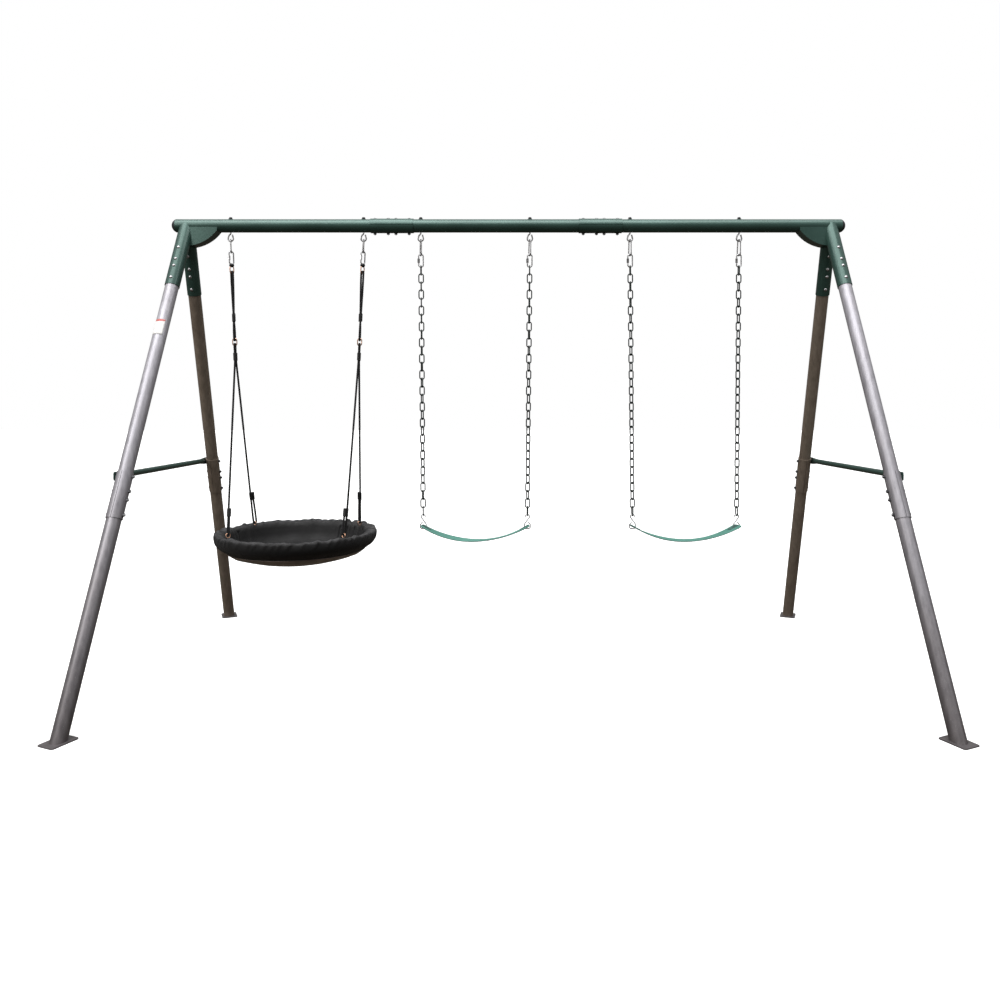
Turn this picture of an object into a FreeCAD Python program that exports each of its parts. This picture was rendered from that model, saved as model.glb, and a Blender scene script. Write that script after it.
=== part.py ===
import FreeCAD, Part
import math
import os

import Sketcher
from FreeCAD import Placement, Rotation, Vector

# A three-bay garden swing set: a steel A-frame with a padded saucer swing and two belt swings.
# X runs along the top beam, Y is fore and aft with the front at -Y, and Z is up from the ground.
# The origin is on the ground under the middle of the beam. All sizes are millimetres.

DIMENSIONS = {
    # top beam and its joints
    "beam_height": 2120,
    "beam_span": 3254,
    "beam_radius": 31.75,
    "tube_wall": 2,
    "tube_gap": 0.5,
    "cap_dome": 22,
    "cap_plug": 35,
    "splice_left": -563,
    "splice_right": 444,
    "splice_length": 207,
    "shell_wall": 3,
    "shell_gap": 2,
    # bolts along every sleeve and socket: outer spacing, inner spacing
    "bolt_outer": 64,
    "bolt_inner": 37,
    "bolt_radius": 4,
    "bolt_head": 8,
    "bolt_dome": 4.5,
    "nut_radius": 7.5,
    "nut_height": 6.5,
    "washer_thick": 2.5,
    "drill_span": 140,
    # legs
    "leg_top_x": 1555,
    "leg_foot_x": 1668,
    "leg_foot_y": 886,
    "leg_radius": 30,
    "leg_start": 80,
    "socket_radius": 33,
    "socket_wall": 2.7,
    "socket_end": 340,
    "socket_bolt": 143,
    "sleeve_centre": 1351.5,
    "sleeve_length": 200,
    "crossbar_radius": 13,
    "crossbar_wall": 1.6,
    "crossbar_flat": 5,
    "crossbar_tube": 826,
    "foot_across": 84,
    "foot_along": 112,
    "foot_thick": 4,
    "foot_corner": 10,
    "foot_turn": 24,
    # gusset under each end of the beam
    "gusset_reach": 155,
    "gusset_drop": 100,
    "gusset_half_width": 30,
    "gusset_wall": 3,
    # hangers
    "hanger_level": 2046,
    "eye_wire": 3.5,
    "clip_wire": 3,
    "link_nut_length": 20,
    "saucer_hanger_in": -701,
    "saucer_hanger_out": -1344,
    "belt_centre_a": -160.5,
    "belt_centre_b": 851.5,
    "belt_hanger_half": 264,
    "belt_seat_half": 251.5,
    "swivel_gap": 0.7,
    "link_gap": 0.4,
    # chain
    "chain_wire": 2.9,
    "chain_inner": 39.2,
    "chain_half_width": 10.9,
    "chain_links": 31,
    "chain_turn": 38,
    # belt seat
    "hook_wire": 2.5,
    "seat_chord_half": 248,
    "seat_sag": 66,
    "seat_width": 140,
    "seat_thick": 5,
    "seat_tilt": 5,
    # saucer
    "saucer_rim": 349,
    "saucer_level": 625,
    "rim_tube": 16,
    "rim_pad": 31,
    "bowl_sphere": 873,
    "bowl_dish": 300,
    "bowl_curl": 107.5,
    "bowl_bottom": 491,
    "bowl_thick": 3,
    "rope_radius": 5,
    "rope_end_x": 266,
    "rope_end_y": 189,
    "rope_end_level": 663,
    "adjuster_length": 37,
}

PARTS = "parts"
doc = FreeCAD.newDocument("swing_set")
sheet = doc.addObject("Spreadsheet::Sheet", "dims")
for row, (alias, value) in enumerate(DIMENSIONS.items(), start=1):
    sheet.set(f"A{row}", str(value))
    sheet.setAlias(f"A{row}", alias)
doc.recompute()

subparts = []


def size(alias):
    """One driving dimension, read from the sheet."""
    return float(sheet.get(alias))


def bind(thing, prop, formula):
    """Ties a property to the sheet; names in the formula that are aliases get the sheet's prefix."""
    words = []
    word = ""
    for letter in formula + " ":
        if letter.isalnum() or letter == "_":
            word += letter
            continue
        words.append(f"dims.{word}" if word in DIMENSIONS else word)
        words.append(letter)
        word = ""
    thing.setExpression(prop, "".join(words).strip())


def keep(thing, name, placement=None):
    """Registers a finished sub-part under its node name."""
    thing.Label = name
    if placement is not None:
        thing.Placement = placement
    subparts.append(thing)
    return thing


# ---------------------------------------------------------------- sketches and features


def new_body(name):
    return doc.addObject("PartDesign::Body", name)


def sketch_on(body, role, offset=None):
    plane = [item for item in body.Origin.OriginFeatures if item.Role == role][0]
    sketch = body.newObject("Sketcher::SketchObject", body.Name + "_sketch")
    sketch.AttachmentSupport = [(plane, "")]
    sketch.MapMode = "FlatFace"
    if offset is not None:
        sketch.AttachmentOffset = offset
    return sketch


def add_circle(sketch, radius_formula, x=0.0, y=0.0):
    index = sketch.addGeometry(Part.Circle(Vector(x, y, 0), Vector(0, 0, 1), 1.0), False)
    number = sketch.addConstraint(Sketcher.Constraint("Radius", index, 1.0))
    bind(sketch, f"Constraints[{number}]", radius_formula)


def add_outline(sketch, corners):
    """Closed outline of straight sides through (x, y, corner radius) points, corners as tangent arcs."""
    for piece in rounded(flat(corners), closed=True):
        sketch.addGeometry(piece, False)


def flat(corners):
    return [(Vector(x, y, 0), radius) for x, y, radius in corners]


def rounded(corners, closed=False):
    """Line and arc pieces along (point, radius) corners, each corner eased by its radius."""
    count = len(corners)
    points = [point for point, _ in corners]
    entries = []
    exits = []
    for i, (here, radius) in enumerate(corners):
        if not radius or (not closed and i in (0, count - 1)):
            entries.append(here)
            exits.append(here)
            continue
        back = (points[i - 1] - here).normalize()
        ahead = (points[(i + 1) % count] - here).normalize()
        half_turn = (math.pi - back.getAngle(ahead)) / 2
        reach = radius * math.tan(half_turn)
        entries.append(here + back * reach)
        exits.append(here + ahead * reach)
    pieces = []
    for i in range(count if closed else count - 1):
        j = (i + 1) % count
        if (entries[j] - exits[i]).Length > 1e-6:
            pieces.append(Part.LineSegment(exits[i], entries[j]))
        if (exits[j] - entries[j]).Length > 1e-6:
            pieces.append(corner_arc(entries[j], points[j], exits[j]))
    return pieces


def corner_arc(entry, corner, leave):
    """The arc tangent to both sides of a corner, from entry to leave."""
    middle = (entry + leave) * 0.5
    to_corner = corner - middle
    half_chord = (leave - entry).Length / 2
    half_turn = math.atan2(to_corner.Length, half_chord)
    rise = half_chord * math.tan(half_turn / 2)
    return Part.Arc(entry, middle + to_corner.normalize() * rise, leave)


def pad(body, sketch, length_formula, symmetric=False):
    feature = body.newObject("PartDesign::Pad", body.Name + "_pad")
    feature.Profile = sketch
    feature.SideType = "Symmetric" if symmetric else "One side"
    bind(feature, "Length", length_formula)
    return feature


def pocket_through(body, sketch):
    feature = body.newObject("PartDesign::Pocket", body.Name + "_pocket")
    feature.Profile = sketch
    feature.SideType = "Symmetric"
    feature.Type = "ThroughAll"
    return feature


def revolve(body, sketch):
    axis = [item for item in body.Origin.OriginFeatures if item.Role == "Z_Axis"][0]
    feature = body.newObject("PartDesign::Revolution", body.Name + "_turn")
    feature.Profile = sketch
    feature.ReferenceAxis = (axis, [""])
    feature.Angle = 360
    return feature


def bent_wire(name, corners, radius_formula, closed):
    """Round wire bent in the XZ plane along rounded corners; its first run leaves along Z."""
    body = new_body(name)
    path = sketch_on(body, "XZ_Plane")
    pieces = rounded(flat(corners), closed)
    for piece in pieces:
        path.addGeometry(piece, False)
    start = pieces[0].StartPoint
    lift = Placement(Vector(start.x, 0, start.y), Rotation())
    section = sketch_on(body, "XY_Plane", lift)
    add_circle(section, radius_formula)
    doc.recompute()
    pipe = body.newObject("PartDesign::AdditivePipe", name + "_pipe")
    pipe.Profile = section
    pipe.Spine = (path, [])
    return body


def group(name, placed):
    """One node of identical or related pieces: (object, placement) pairs as linked copies."""
    links = []
    for number, (thing, placement) in enumerate(placed):
        link = doc.addObject("App::Link", f"{name}_{number}")
        link.LinkedObject = thing
        link.Placement = placement
        links.append(link)
    compound = doc.addObject("Part::Compound", name)
    compound.Links = links
    return keep(compound, name)


def cylinder(name, radius_formula, length_formula, placement=None):
    solid = doc.addObject("Part::Cylinder", name)
    bind(solid, "Radius", radius_formula)
    bind(solid, "Height", length_formula)
    if placement is not None:
        solid.Placement = placement
    return solid


def fused(name, things):
    joined = doc.addObject("Part::MultiFuse", name)
    joined.Shapes = things
    return joined


def cut(name, base, tool):
    result = doc.addObject("Part::Cut", name)
    result.Base = base
    result.Tool = tool
    return result


# ---------------------------------------------------------------- places

SIDES = {"left": -1, "right": 1}
ENDS = {"front": -1, "rear": 1}
ABOUT_X = Vector(1, 0, 0)
ABOUT_Y = Vector(0, 1, 0)
ABOUT_Z = Vector(0, 0, 1)
ALONG_X = Rotation(ABOUT_Y, 90)
BEAM_AXIS = Vector(0, 0, size("beam_height"))
SLEEVE_BOLTS = [
    -size("bolt_inner") / 2 - size("bolt_outer"),
    -size("bolt_inner") / 2,
    size("bolt_inner") / 2,
    size("bolt_inner") / 2 + size("bolt_outer"),
]
SOCKET_BOLTS = [size("socket_bolt") + offset - SLEEVE_BOLTS[0] for offset in SLEEVE_BOLTS]


def leg_frame(side, end, shift=0.0):
    """Placement of a leg: its Z runs from the beam axis down to the foot, its Y faces the front."""
    top = Vector(side * size("leg_top_x"), 0, size("beam_height"))
    foot = Vector(side * size("leg_foot_x"), end * size("leg_foot_y"), 0)
    along = foot - top
    length = along.Length
    along.normalize()
    across = (Vector(1, 0, 0) - along * along.x).normalize()
    front = along.cross(across)
    matrix = FreeCAD.Matrix(
        across.x, front.x, along.x, top.x + along.x * shift,
        across.y, front.y, along.y, top.y + along.y * shift,
        across.z, front.z, along.z, top.z + along.z * shift,
        0, 0, 0, 1,
    )
    return Placement(matrix), length


LEG_LENGTH = leg_frame(1, 1)[1]


# ---------------------------------------------------------------- fasteners

def dome_arc(radius, rise):
    """Sketch arc of a spherical cap, from its rim at (radius, 0) to its top at (0, rise)."""
    sphere = (radius**2 + rise**2) / (2 * rise)
    angle = math.asin(radius / sphere) / 2
    middle = Vector(sphere * math.sin(angle), rise - sphere * (1 - math.cos(angle)), 0)
    return Part.Arc(Vector(radius, 0, 0), middle, Vector(0, rise, 0))


def make_bolt(name, shank):
    """Dome-head bolt: head underside at z = 0, head up, shank down."""
    body = new_body(name)
    profile = sketch_on(body, "XZ_Plane")
    head = size("bolt_head")
    dome = size("bolt_dome")
    radius = size("bolt_radius")
    profile.addGeometry(Part.LineSegment(Vector(0, -shank, 0), Vector(radius, -shank, 0)), False)
    profile.addGeometry(Part.LineSegment(Vector(radius, -shank, 0), Vector(radius, 0, 0)), False)
    profile.addGeometry(Part.LineSegment(Vector(radius, 0, 0), Vector(head, 0, 0)), False)
    profile.addGeometry(dome_arc(head, dome), False)
    profile.addGeometry(Part.LineSegment(Vector(0, dome, 0), Vector(0, -shank, 0)), False)
    doc.recompute()
    revolve(body, profile)
    return body


def make_nut(name):
    """Hexagon nut with a clear bore, seated on z = 0."""
    body = new_body(name)
    outline = sketch_on(body, "XY_Plane")
    radius = size("nut_radius")
    corners = [
        (radius * math.cos(math.radians(60 * k)), radius * math.sin(math.radians(60 * k)), 0)
        for k in range(6)
    ]
    add_outline(outline, corners)
    add_circle(outline, "bolt_radius + 0.2")
    doc.recompute()
    pad(body, outline, "nut_height")
    return body


def make_sleeve_half(name, radius_formula, length_formula):
    """Half of a clamping sleeve along Z, on the +Y side of the split, drilled for its bolts."""
    body = new_body(name)
    inner = size(radius_formula) + 0.1
    outer = inner + size("shell_wall")
    half_gap = size("shell_gap") / 2
    inner_x = math.sqrt(inner**2 - half_gap**2)
    outer_x = math.sqrt(outer**2 - half_gap**2)
    section = sketch_on(body, "XY_Plane")
    for piece in (
        Part.Arc(Vector(outer_x, half_gap, 0), Vector(0, outer, 0), Vector(-outer_x, half_gap, 0)),
        Part.LineSegment(Vector(-outer_x, half_gap, 0), Vector(-inner_x, half_gap, 0)),
        Part.Arc(Vector(-inner_x, half_gap, 0), Vector(0, inner, 0), Vector(inner_x, half_gap, 0)),
        Part.LineSegment(Vector(inner_x, half_gap, 0), Vector(outer_x, half_gap, 0)),
    ):
        section.addGeometry(piece, False)
    doc.recompute()
    pad(body, section, length_formula, symmetric=True)
    doc.recompute()
    holes = sketch_on(body, "XZ_Plane")
    for offset in SLEEVE_BOLTS:
        add_circle(holes, "bolt_radius + 0.2", 0, offset)
    doc.recompute()
    pocket_through(body, holes)
    return body


# ---------------------------------------------------------------- top beam

BEAM_END = size("beam_span") / 2 - size("cap_dome")
BEAM_TUBES = {
    "beam_left": (-BEAM_END, size("splice_left"), "splice_left + beam_span / 2 - cap_dome - tube_gap"),
    "beam_centre": (size("splice_left"), size("splice_right"), "splice_right - splice_left - tube_gap"),
    "beam_right": (size("splice_right"), BEAM_END, "beam_span / 2 - cap_dome - splice_right - tube_gap"),
}


def saucer_hangers():
    return [size("saucer_hanger_out"), size("saucer_hanger_in")]


def belt_hangers(centre):
    return [size(centre) - size("belt_hanger_half"), size(centre) + size("belt_hanger_half")]


HANGERS = saucer_hangers() + belt_hangers("belt_centre_a") + belt_hangers("belt_centre_b")


def make_beam_tube(name, start, stop, length_formula):
    """One tube of the beam, drilled straight down for its splice bolts and eye bolts."""
    body = new_body(name)
    section = sketch_on(body, "XY_Plane")
    add_circle(section, "beam_radius")
    add_circle(section, "beam_radius - tube_wall")
    doc.recompute()
    pad(body, section, length_formula)
    doc.recompute()
    first = start + size("tube_gap") / 2
    drilled = list(HANGERS)
    for splice in ("splice_left", "splice_right"):
        drilled += [size(splice) + offset for offset in SLEEVE_BOLTS]
    holes = sketch_on(body, "YZ_Plane")
    for place in drilled:
        if start + 5 < place < stop - 5:
            add_circle(holes, "bolt_radius + 0.2", 0, place - first)
    doc.recompute()
    pocket_through(body, holes)
    upright = Rotation(ABOUT_Y, 90)
    keep(body, name, Placement(BEAM_AXIS + Vector(first, 0, 0), upright))


def make_end_cap(name, side):
    """Domed plug that closes one end of the beam."""
    body = new_body(name)
    profile = sketch_on(body, "XZ_Plane")
    radius = size("beam_radius")
    dome = size("cap_dome")
    stem = radius - size("tube_wall") - 0.3
    depth = size("cap_plug")
    points = [Vector(0, -depth, 0), Vector(stem, -depth, 0), Vector(stem, 0, 0), Vector(radius, 0, 0)]
    for first, second in zip(points, points[1:]):
        profile.addGeometry(Part.LineSegment(first, second), False)
    profile.addGeometry(dome_arc(radius, dome), False)
    profile.addGeometry(Part.LineSegment(Vector(0, dome, 0), Vector(0, -depth, 0)), False)
    doc.recompute()
    revolve(body, profile)
    keep(body, name, Placement(BEAM_AXIS + Vector(side * BEAM_END, 0, 0), Rotation(ABOUT_Y, side * 90)))


for tube_name, (tube_start, tube_stop, tube_length) in BEAM_TUBES.items():
    make_beam_tube(tube_name, tube_start, tube_stop, tube_length)
for side_name, side in SIDES.items():
    make_end_cap(f"beam_cap_{side_name}", side)

beam_shell = make_sleeve_half("beam_sleeve_half", "beam_radius", "splice_length")
HALF_TURN = Rotation(ABOUT_Z, 180)
for splice_name in ("left", "right"):
    centre = BEAM_AXIS + Vector(size(f"splice_{splice_name}"), 0, 0)
    # The sleeve's Z lies along the beam and its Y, the half shell's crown, points up or down.
    lying = Rotation(ABOUT_X, 90).multiply(Rotation(ABOUT_Y, 90))
    upper = Placement(centre, lying)
    lower = Placement(centre, lying.multiply(HALF_TURN))
    group(f"beam_splice_{splice_name}", [(beam_shell, upper), (beam_shell, lower)])

# The splice bolts point down, with their nuts under the beam.
SPLICE_CROWN = size("beam_radius") + 0.1 + size("shell_wall") + 0.05
SHANK_SPARE = size("nut_height") + 3
nut = make_nut("nut_master")
splice_bolt = make_bolt("splice_bolt_master", 2 * SPLICE_CROWN + SHANK_SPARE)
sleeve_bolts = []
sleeve_nuts = []
for splice in ("splice_left", "splice_right"):
    for offset in SLEEVE_BOLTS:
        top = BEAM_AXIS + Vector(size(splice) + offset, 0, SPLICE_CROWN)
        under = BEAM_AXIS + Vector(size(splice) + offset, 0, -SPLICE_CROWN)
        sleeve_bolts.append((splice_bolt, Placement(top, Rotation())))
        sleeve_nuts.append((nut, Placement(under, Rotation(ABOUT_X, 180))))


# ---------------------------------------------------------------- end brackets and legs

TOWARDS_FRONT = Rotation(ABOUT_X, -90)
TOWARDS_BACK = Rotation(ABOUT_X, 90)


def across_leg(frame, distance, turn):
    """A drill through a leg: at a distance down it, along the leg's Y, or its X when turned."""
    spin = Rotation(ABOUT_Z, turn)
    start = spin.multVec(Vector(0, -size("drill_span") / 2, 0)) + Vector(0, 0, distance)
    return frame.multiply(Placement(start, spin.multiply(TOWARDS_FRONT)))


def drills(name, frame, places, turn):
    tools = []
    for number, place in enumerate(places):
        place_across = across_leg(frame, place, turn)
        tools.append(cylinder(f"{name}_{number}", "bolt_radius + 0.2", "drill_span", place_across))
    return tools


def make_gusset(name, side):
    """Channel under the beam: two webs and a curved strip that joins their lower edges."""
    body = new_body(name)
    reach = size("gusset_reach")
    drop = size("gusset_drop")
    wall = size("gusset_wall")
    for inset in (0, wall):
        start = 20
        tip = Vector(reach - 2 * inset, -26, 0)
        belly = Vector(reach * 0.7 - inset * 0.7, -drop * 0.7 + inset * 0.7, 0)
        heel = Vector(start + 12, -drop + inset, 0)
        top = 8 * inset - 6
        outline = [
            Part.LineSegment(Vector(start, top, 0), Vector(tip.x, top, 0)),
            Part.LineSegment(Vector(tip.x, top, 0), tip),
            Part.Arc(tip, belly, heel),
            Part.LineSegment(heel, Vector(start, heel.y, 0)),
            Part.LineSegment(Vector(start, heel.y, 0), Vector(start, top, 0)),
        ]
        sketch = sketch_on(body, "XZ_Plane")
        for piece in outline:
            sketch.addGeometry(piece, False)
        doc.recompute()
        if inset:
            pocket = body.newObject("PartDesign::Pocket", name + "_hollow")
            pocket.Profile = sketch
            pocket.SideType = "Symmetric"
            bind(pocket, "Length", "2 * (gusset_half_width - gusset_wall)")
        else:
            pad(body, sketch, "2 * gusset_half_width", symmetric=True)
        doc.recompute()
    turn = 180 if side > 0 else 0
    place = BEAM_AXIS + Vector(side * size("leg_top_x"), 0, 0)
    body.Placement = Placement(place, Rotation(ABOUT_Z, turn))
    return body


def make_end_bracket(name, side):
    """Welded bracket: a socket for the front leg, one for the rear leg, and the gusset."""
    sockets = []
    bores = []
    for end_name, end in ENDS.items():
        frame, _ = leg_frame(side, end)
        bore_frame, _ = leg_frame(side, end, shift=size("socket_radius") + 4)
        tag = f"{name}_{end_name}"
        sockets.append(cylinder(tag + "_socket", "socket_radius", "socket_end", frame))
        bores.append(cylinder(tag + "_bore", "socket_radius - socket_wall", "socket_end", bore_frame))
        bores += drills(tag + "_drill", frame, SOCKET_BOLTS, 0)
    start = BEAM_AXIS + Vector(-size("beam_span"), 0, 0)
    beam = cylinder(name + "_beam", "beam_radius + 0.05", "2 * beam_span", Placement(start, ALONG_X))
    outer = fused(name + "_outer", sockets + [make_gusset(name + "_gusset", side)])
    inner = fused(name + "_inner", bores + [beam])
    keep(cut(name, outer, inner), name)


UPPER_DRILLS = SLEEVE_BOLTS[:2]
LOWER_DRILLS = SLEEVE_BOLTS[2:]
GROUND_BLOCK = 400
# The lower tube is cut from a longer one, flat on its foot plate.
FOOT_SPARE = 60
SPAN_FORMULA = "sqrt((leg_foot_x - leg_top_x) ^ 2 + leg_foot_y ^ 2 + beam_height ^ 2)"
UPPER_FORMULA = "sleeve_centre - tube_gap - leg_start"
LOWER_FORMULA = f"{SPAN_FORMULA} + {FOOT_SPARE} - sleeve_centre - tube_gap"


def make_leg_tube(name, side, end, start, length_formula, places):
    """One leg tube from a distance down the leg, drilled for its bolts."""
    frame, _ = leg_frame(side, end)
    shifted, _ = leg_frame(side, end, shift=start)
    outer = cylinder(name + "_outer", "leg_radius", length_formula, shifted)
    inner = cylinder(name + "_inner", "leg_radius - tube_wall", length_formula, shifted)
    tools = [inner]
    tools += drills(name + "_side", frame, [size("sleeve_centre") + place for place in places], 90)
    if length_formula == UPPER_FORMULA:
        tools += drills(name + "_front", frame, SOCKET_BOLTS, 0)
    else:
        ground = doc.addObject("Part::Box", name + "_ground")
        ground.Length = GROUND_BLOCK
        ground.Width = GROUND_BLOCK
        ground.Height = GROUND_BLOCK
        foot = Vector(side * size("leg_foot_x"), end * size("leg_foot_y"), size("foot_thick") + 0.05)
        ground.Placement.Base = foot - Vector(GROUND_BLOCK / 2, GROUND_BLOCK / 2, GROUND_BLOCK)
        tools.append(ground)
    keep(cut(name, outer, fused(name + "_tools", tools)), name)


def make_foot_plate():
    """Rounded rectangular plate under a leg."""
    body = new_body("foot_master")
    outline = sketch_on(body, "XY_Plane")
    half_x = size("foot_across") / 2
    half_y = size("foot_along") / 2
    corner = size("foot_corner")
    add_outline(outline, [
        (half_x, half_y, corner), (-half_x, half_y, corner),
        (-half_x, -half_y, corner), (half_x, -half_y, corner),
    ])
    doc.recompute()
    pad(body, outline, "foot_thick")
    return body


def make_crossbar(name, side):
    """Round tube with flattened, drilled ends that ties the front leg to the rear leg."""
    body = new_body(name)
    frame, _ = leg_frame(side, 1)
    bolt = frame.multVec(Vector(side * CROSSBAR_OFFSET, 0, size("sleeve_centre") + SLEEVE_BOLTS[0]))
    half = bolt.y
    flat_end = half + 18
    neck = half - 22
    tube_end = size("crossbar_tube") / 2
    section = sketch_on(body, "XY_Plane")
    add_circle(section, "crossbar_radius")
    add_circle(section, "crossbar_radius - crossbar_wall")
    doc.recompute()
    pad(body, section, "crossbar_tube", symmetric=True)
    doc.recompute()
    for sign in (-1, 1):
        round_end = sketch_on(body, "XY_Plane", Placement(Vector(0, 0, sign * tube_end), Rotation()))
        add_circle(round_end, "crossbar_radius")
        for level in (neck, flat_end):
            flattened = sketch_on(body, "XY_Plane", Placement(Vector(0, 0, sign * level), Rotation()))
            ellipse = Part.Ellipse(Vector(0, 0, 0), size("crossbar_radius") * 1.4, size("crossbar_flat") / 2)
            flattened.addGeometry(ellipse, False)
            doc.recompute()
            loft = body.newObject("PartDesign::AdditiveLoft", name + "_loft")
            loft.Profile = round_end
            loft.Sections = [(flattened, [""])]
            doc.recompute()
            round_end = flattened
    holes = sketch_on(body, "XZ_Plane")
    for sign in (-1, 1):
        add_circle(holes, "bolt_radius + 0.2", 0, sign * half)
    doc.recompute()
    pocket_through(body, holes)
    # The bar lies along Y; the flat of its ends faces along X.
    lying = Rotation(ABOUT_X, -90).multiply(Rotation(ABOUT_Z, 90))
    keep(body, name, Placement(Vector(bolt.x, 0, bolt.z), lying))


SLEEVE_CROWN = size("leg_radius") + 0.1 + size("shell_wall") + 0.05
CROSSBAR_OFFSET = SLEEVE_CROWN + 1.5 + size("crossbar_flat") / 2
SOCKET_CROWN = size("socket_radius") + 0.05

leg_shell = make_sleeve_half("leg_sleeve_half", "leg_radius", "sleeve_length")
socket_bolt = make_bolt("socket_bolt_master", 2 * SOCKET_CROWN + SHANK_SPARE)
leg_bolt = make_bolt("leg_bolt_master", 2 * SLEEVE_CROWN + SHANK_SPARE)
bar_head = CROSSBAR_OFFSET + size("crossbar_flat") / 2 + 0.3
bar_bolt = make_bolt("crossbar_bolt_master", bar_head + SLEEVE_CROWN + SHANK_SPARE)
foot_plate = make_foot_plate()
socket_bolts = []
feet = []

for side_name, side in SIDES.items():
    make_end_bracket(f"end_bracket_{side_name}", side)
    for end_name, end in ENDS.items():
        frame, _ = leg_frame(side, end)
        joint = size("sleeve_centre")
        leg_name = f"leg_{end_name}_{side_name}"
        make_leg_tube(leg_name + "_upper", side, end, size("leg_start"), UPPER_FORMULA, UPPER_DRILLS)
        make_leg_tube(leg_name + "_lower", side, end, joint + size("tube_gap"), LOWER_FORMULA, LOWER_DRILLS)
        shells = []
        for turn in (90, -90):
            place = Placement(Vector(0, 0, joint), Rotation(ABOUT_Z, turn))
            shells.append((leg_shell, frame.multiply(place)))
        group(leg_name + "_sleeve", shells)
        for distance in SOCKET_BOLTS:
            head = Placement(Vector(0, SOCKET_CROWN, distance), TOWARDS_FRONT)
            back = Placement(Vector(0, -SOCKET_CROWN, distance), TOWARDS_BACK)
            socket_bolts.append((socket_bolt, frame.multiply(head)))
            sleeve_nuts.append((nut, frame.multiply(back)))
        outward = Rotation(ABOUT_Y, side * 90)
        inward = Rotation(ABOUT_Y, -side * 90)
        for number, offset in enumerate(SLEEVE_BOLTS):
            master, reach = (leg_bolt, SLEEVE_CROWN) if number else (bar_bolt, bar_head)
            head = Placement(Vector(side * reach, 0, joint + offset), outward)
            back = Placement(Vector(-side * SLEEVE_CROWN, 0, joint + offset), inward)
            sleeve_bolts.append((master, frame.multiply(head)))
            sleeve_nuts.append((nut, frame.multiply(back)))
        ground = Vector(side * size("leg_foot_x"), end * size("leg_foot_y"), 0)
        toe_out = Rotation(ABOUT_Z, -side * end * size("foot_turn"))
        feet.append((foot_plate, Placement(ground, toe_out)))
    make_crossbar(f"crossbar_{side_name}", side)
group("socket_bolts", socket_bolts)
group("sleeve_bolts", sleeve_bolts)
group("sleeve_nuts", sleeve_nuts)
group("foot_plates", feet)


# ---------------------------------------------------------------- hangers

def make_eye_bolt():
    """Eye bolt: pear-shaped eye whose lowest wire centre is the origin, shank straight up."""
    wire = size("eye_wire")
    shank_top = size("beam_height") + size("beam_radius") - size("hanger_level") + 10
    corners = [
        (0, shank_top, 0), (0, 36, 6), (-9, 27, 8), (-12.5, 12, 10), (-12.5, 0, 12.3), (12.5, 0, 12.3),
        (12.5, 12, 10), (9.5, 25, 8), (2 * wire + 0.8, 31, 0),
    ]
    return bent_wire("eye_master", corners, "eye_wire", closed=False)


def make_washer():
    body = new_body("washer_master")
    outline = sketch_on(body, "XY_Plane")
    add_circle(outline, "bolt_head + 2.5")
    add_circle(outline, "bolt_radius + 0.2")
    doc.recompute()
    pad(body, outline, "washer_thick")
    return body


def make_carabiner(name, top, length):
    """Spring-snap body, pear shaped, open on +X where its gate closes; top and length are wire centres."""
    bottom = top - length
    corners = [
        (GATE_X, top - NOSE_DROP, 0), (GATE_X, top, 9), (-9, top, 9), (-14.5, bottom, 13),
        (GATE_X, bottom, 11), (GATE_X, bottom + PIVOT_RISE - size("clip_wire") - 0.2, 0),
    ]
    return bent_wire(name, corners, "clip_wire", closed=False)


def make_gate(name, length):
    """Round gate with domed ends; it turns about the origin, at its lower end."""
    body = new_body(name)
    profile = sketch_on(body, "XZ_Plane")
    radius = size("clip_wire") - 0.4
    rim = math.sqrt(0.5) * radius
    profile.addGeometry(Part.Arc(Vector(0, -radius, 0), Vector(rim, -rim, 0), Vector(radius, 0, 0)), False)
    profile.addGeometry(Part.LineSegment(Vector(radius, 0, 0), Vector(radius, length, 0)), False)
    crown = Vector(rim, length + rim, 0)
    profile.addGeometry(Part.Arc(Vector(radius, length, 0), crown, Vector(0, length + radius, 0)), False)
    profile.addGeometry(Part.LineSegment(Vector(0, length + radius, 0), Vector(0, -radius, 0)), False)
    doc.recompute()
    revolve(body, profile)
    return body


def make_oval(name, half_width, half_height, radius_formula):
    """Closed oval of round wire about the origin."""
    ease = half_width - 0.05
    corners = [
        (half_width, -half_height, ease), (half_width, half_height, ease),
        (-half_width, half_height, ease), (-half_width, -half_height, ease),
    ]
    return bent_wire(name, corners, radius_formula, closed=True)


def make_link_nut():
    """Threaded hexagon sleeve that closes a quick link, along Z about the origin."""
    body = new_body("link_nut_master")
    outline = sketch_on(body, "XY_Plane")
    corners = []
    for k in range(6):
        angle = math.radians(60 * k)
        corners.append((NUT_SLEEVE_RADIUS * math.cos(angle), NUT_SLEEVE_RADIUS * math.sin(angle), 0))
    add_outline(outline, corners)
    add_circle(outline, "clip_wire + 0.1")
    doc.recompute()
    pad(body, outline, "link_nut_length", symmetric=True)
    return body


GATE_X = 11.5
NOSE_DROP = 20
PIVOT_RISE = 20
NUT_SLEEVE_RADIUS = 5.8
QUICK_HALF_WIDTH = 11
QUICK_HALF_HEIGHT = 31
BELT_CLIP = {"top": size("eye_wire") + size("clip_wire") + size("swivel_gap"), "length": 77, "yaw": -70}
SAUCER_CLIP = {"top": size("eye_wire") + size("clip_wire") + 1.2, "length": 64, "yaw": -70}
CLIP_GAP = 2 * size("clip_wire") + size("link_gap")

eye_bolt = make_eye_bolt()
washer = make_washer()
quick_link = make_oval("quick_link_master", QUICK_HALF_WIDTH, QUICK_HALF_HEIGHT, "clip_wire")
link_nut = make_link_nut()

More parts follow.
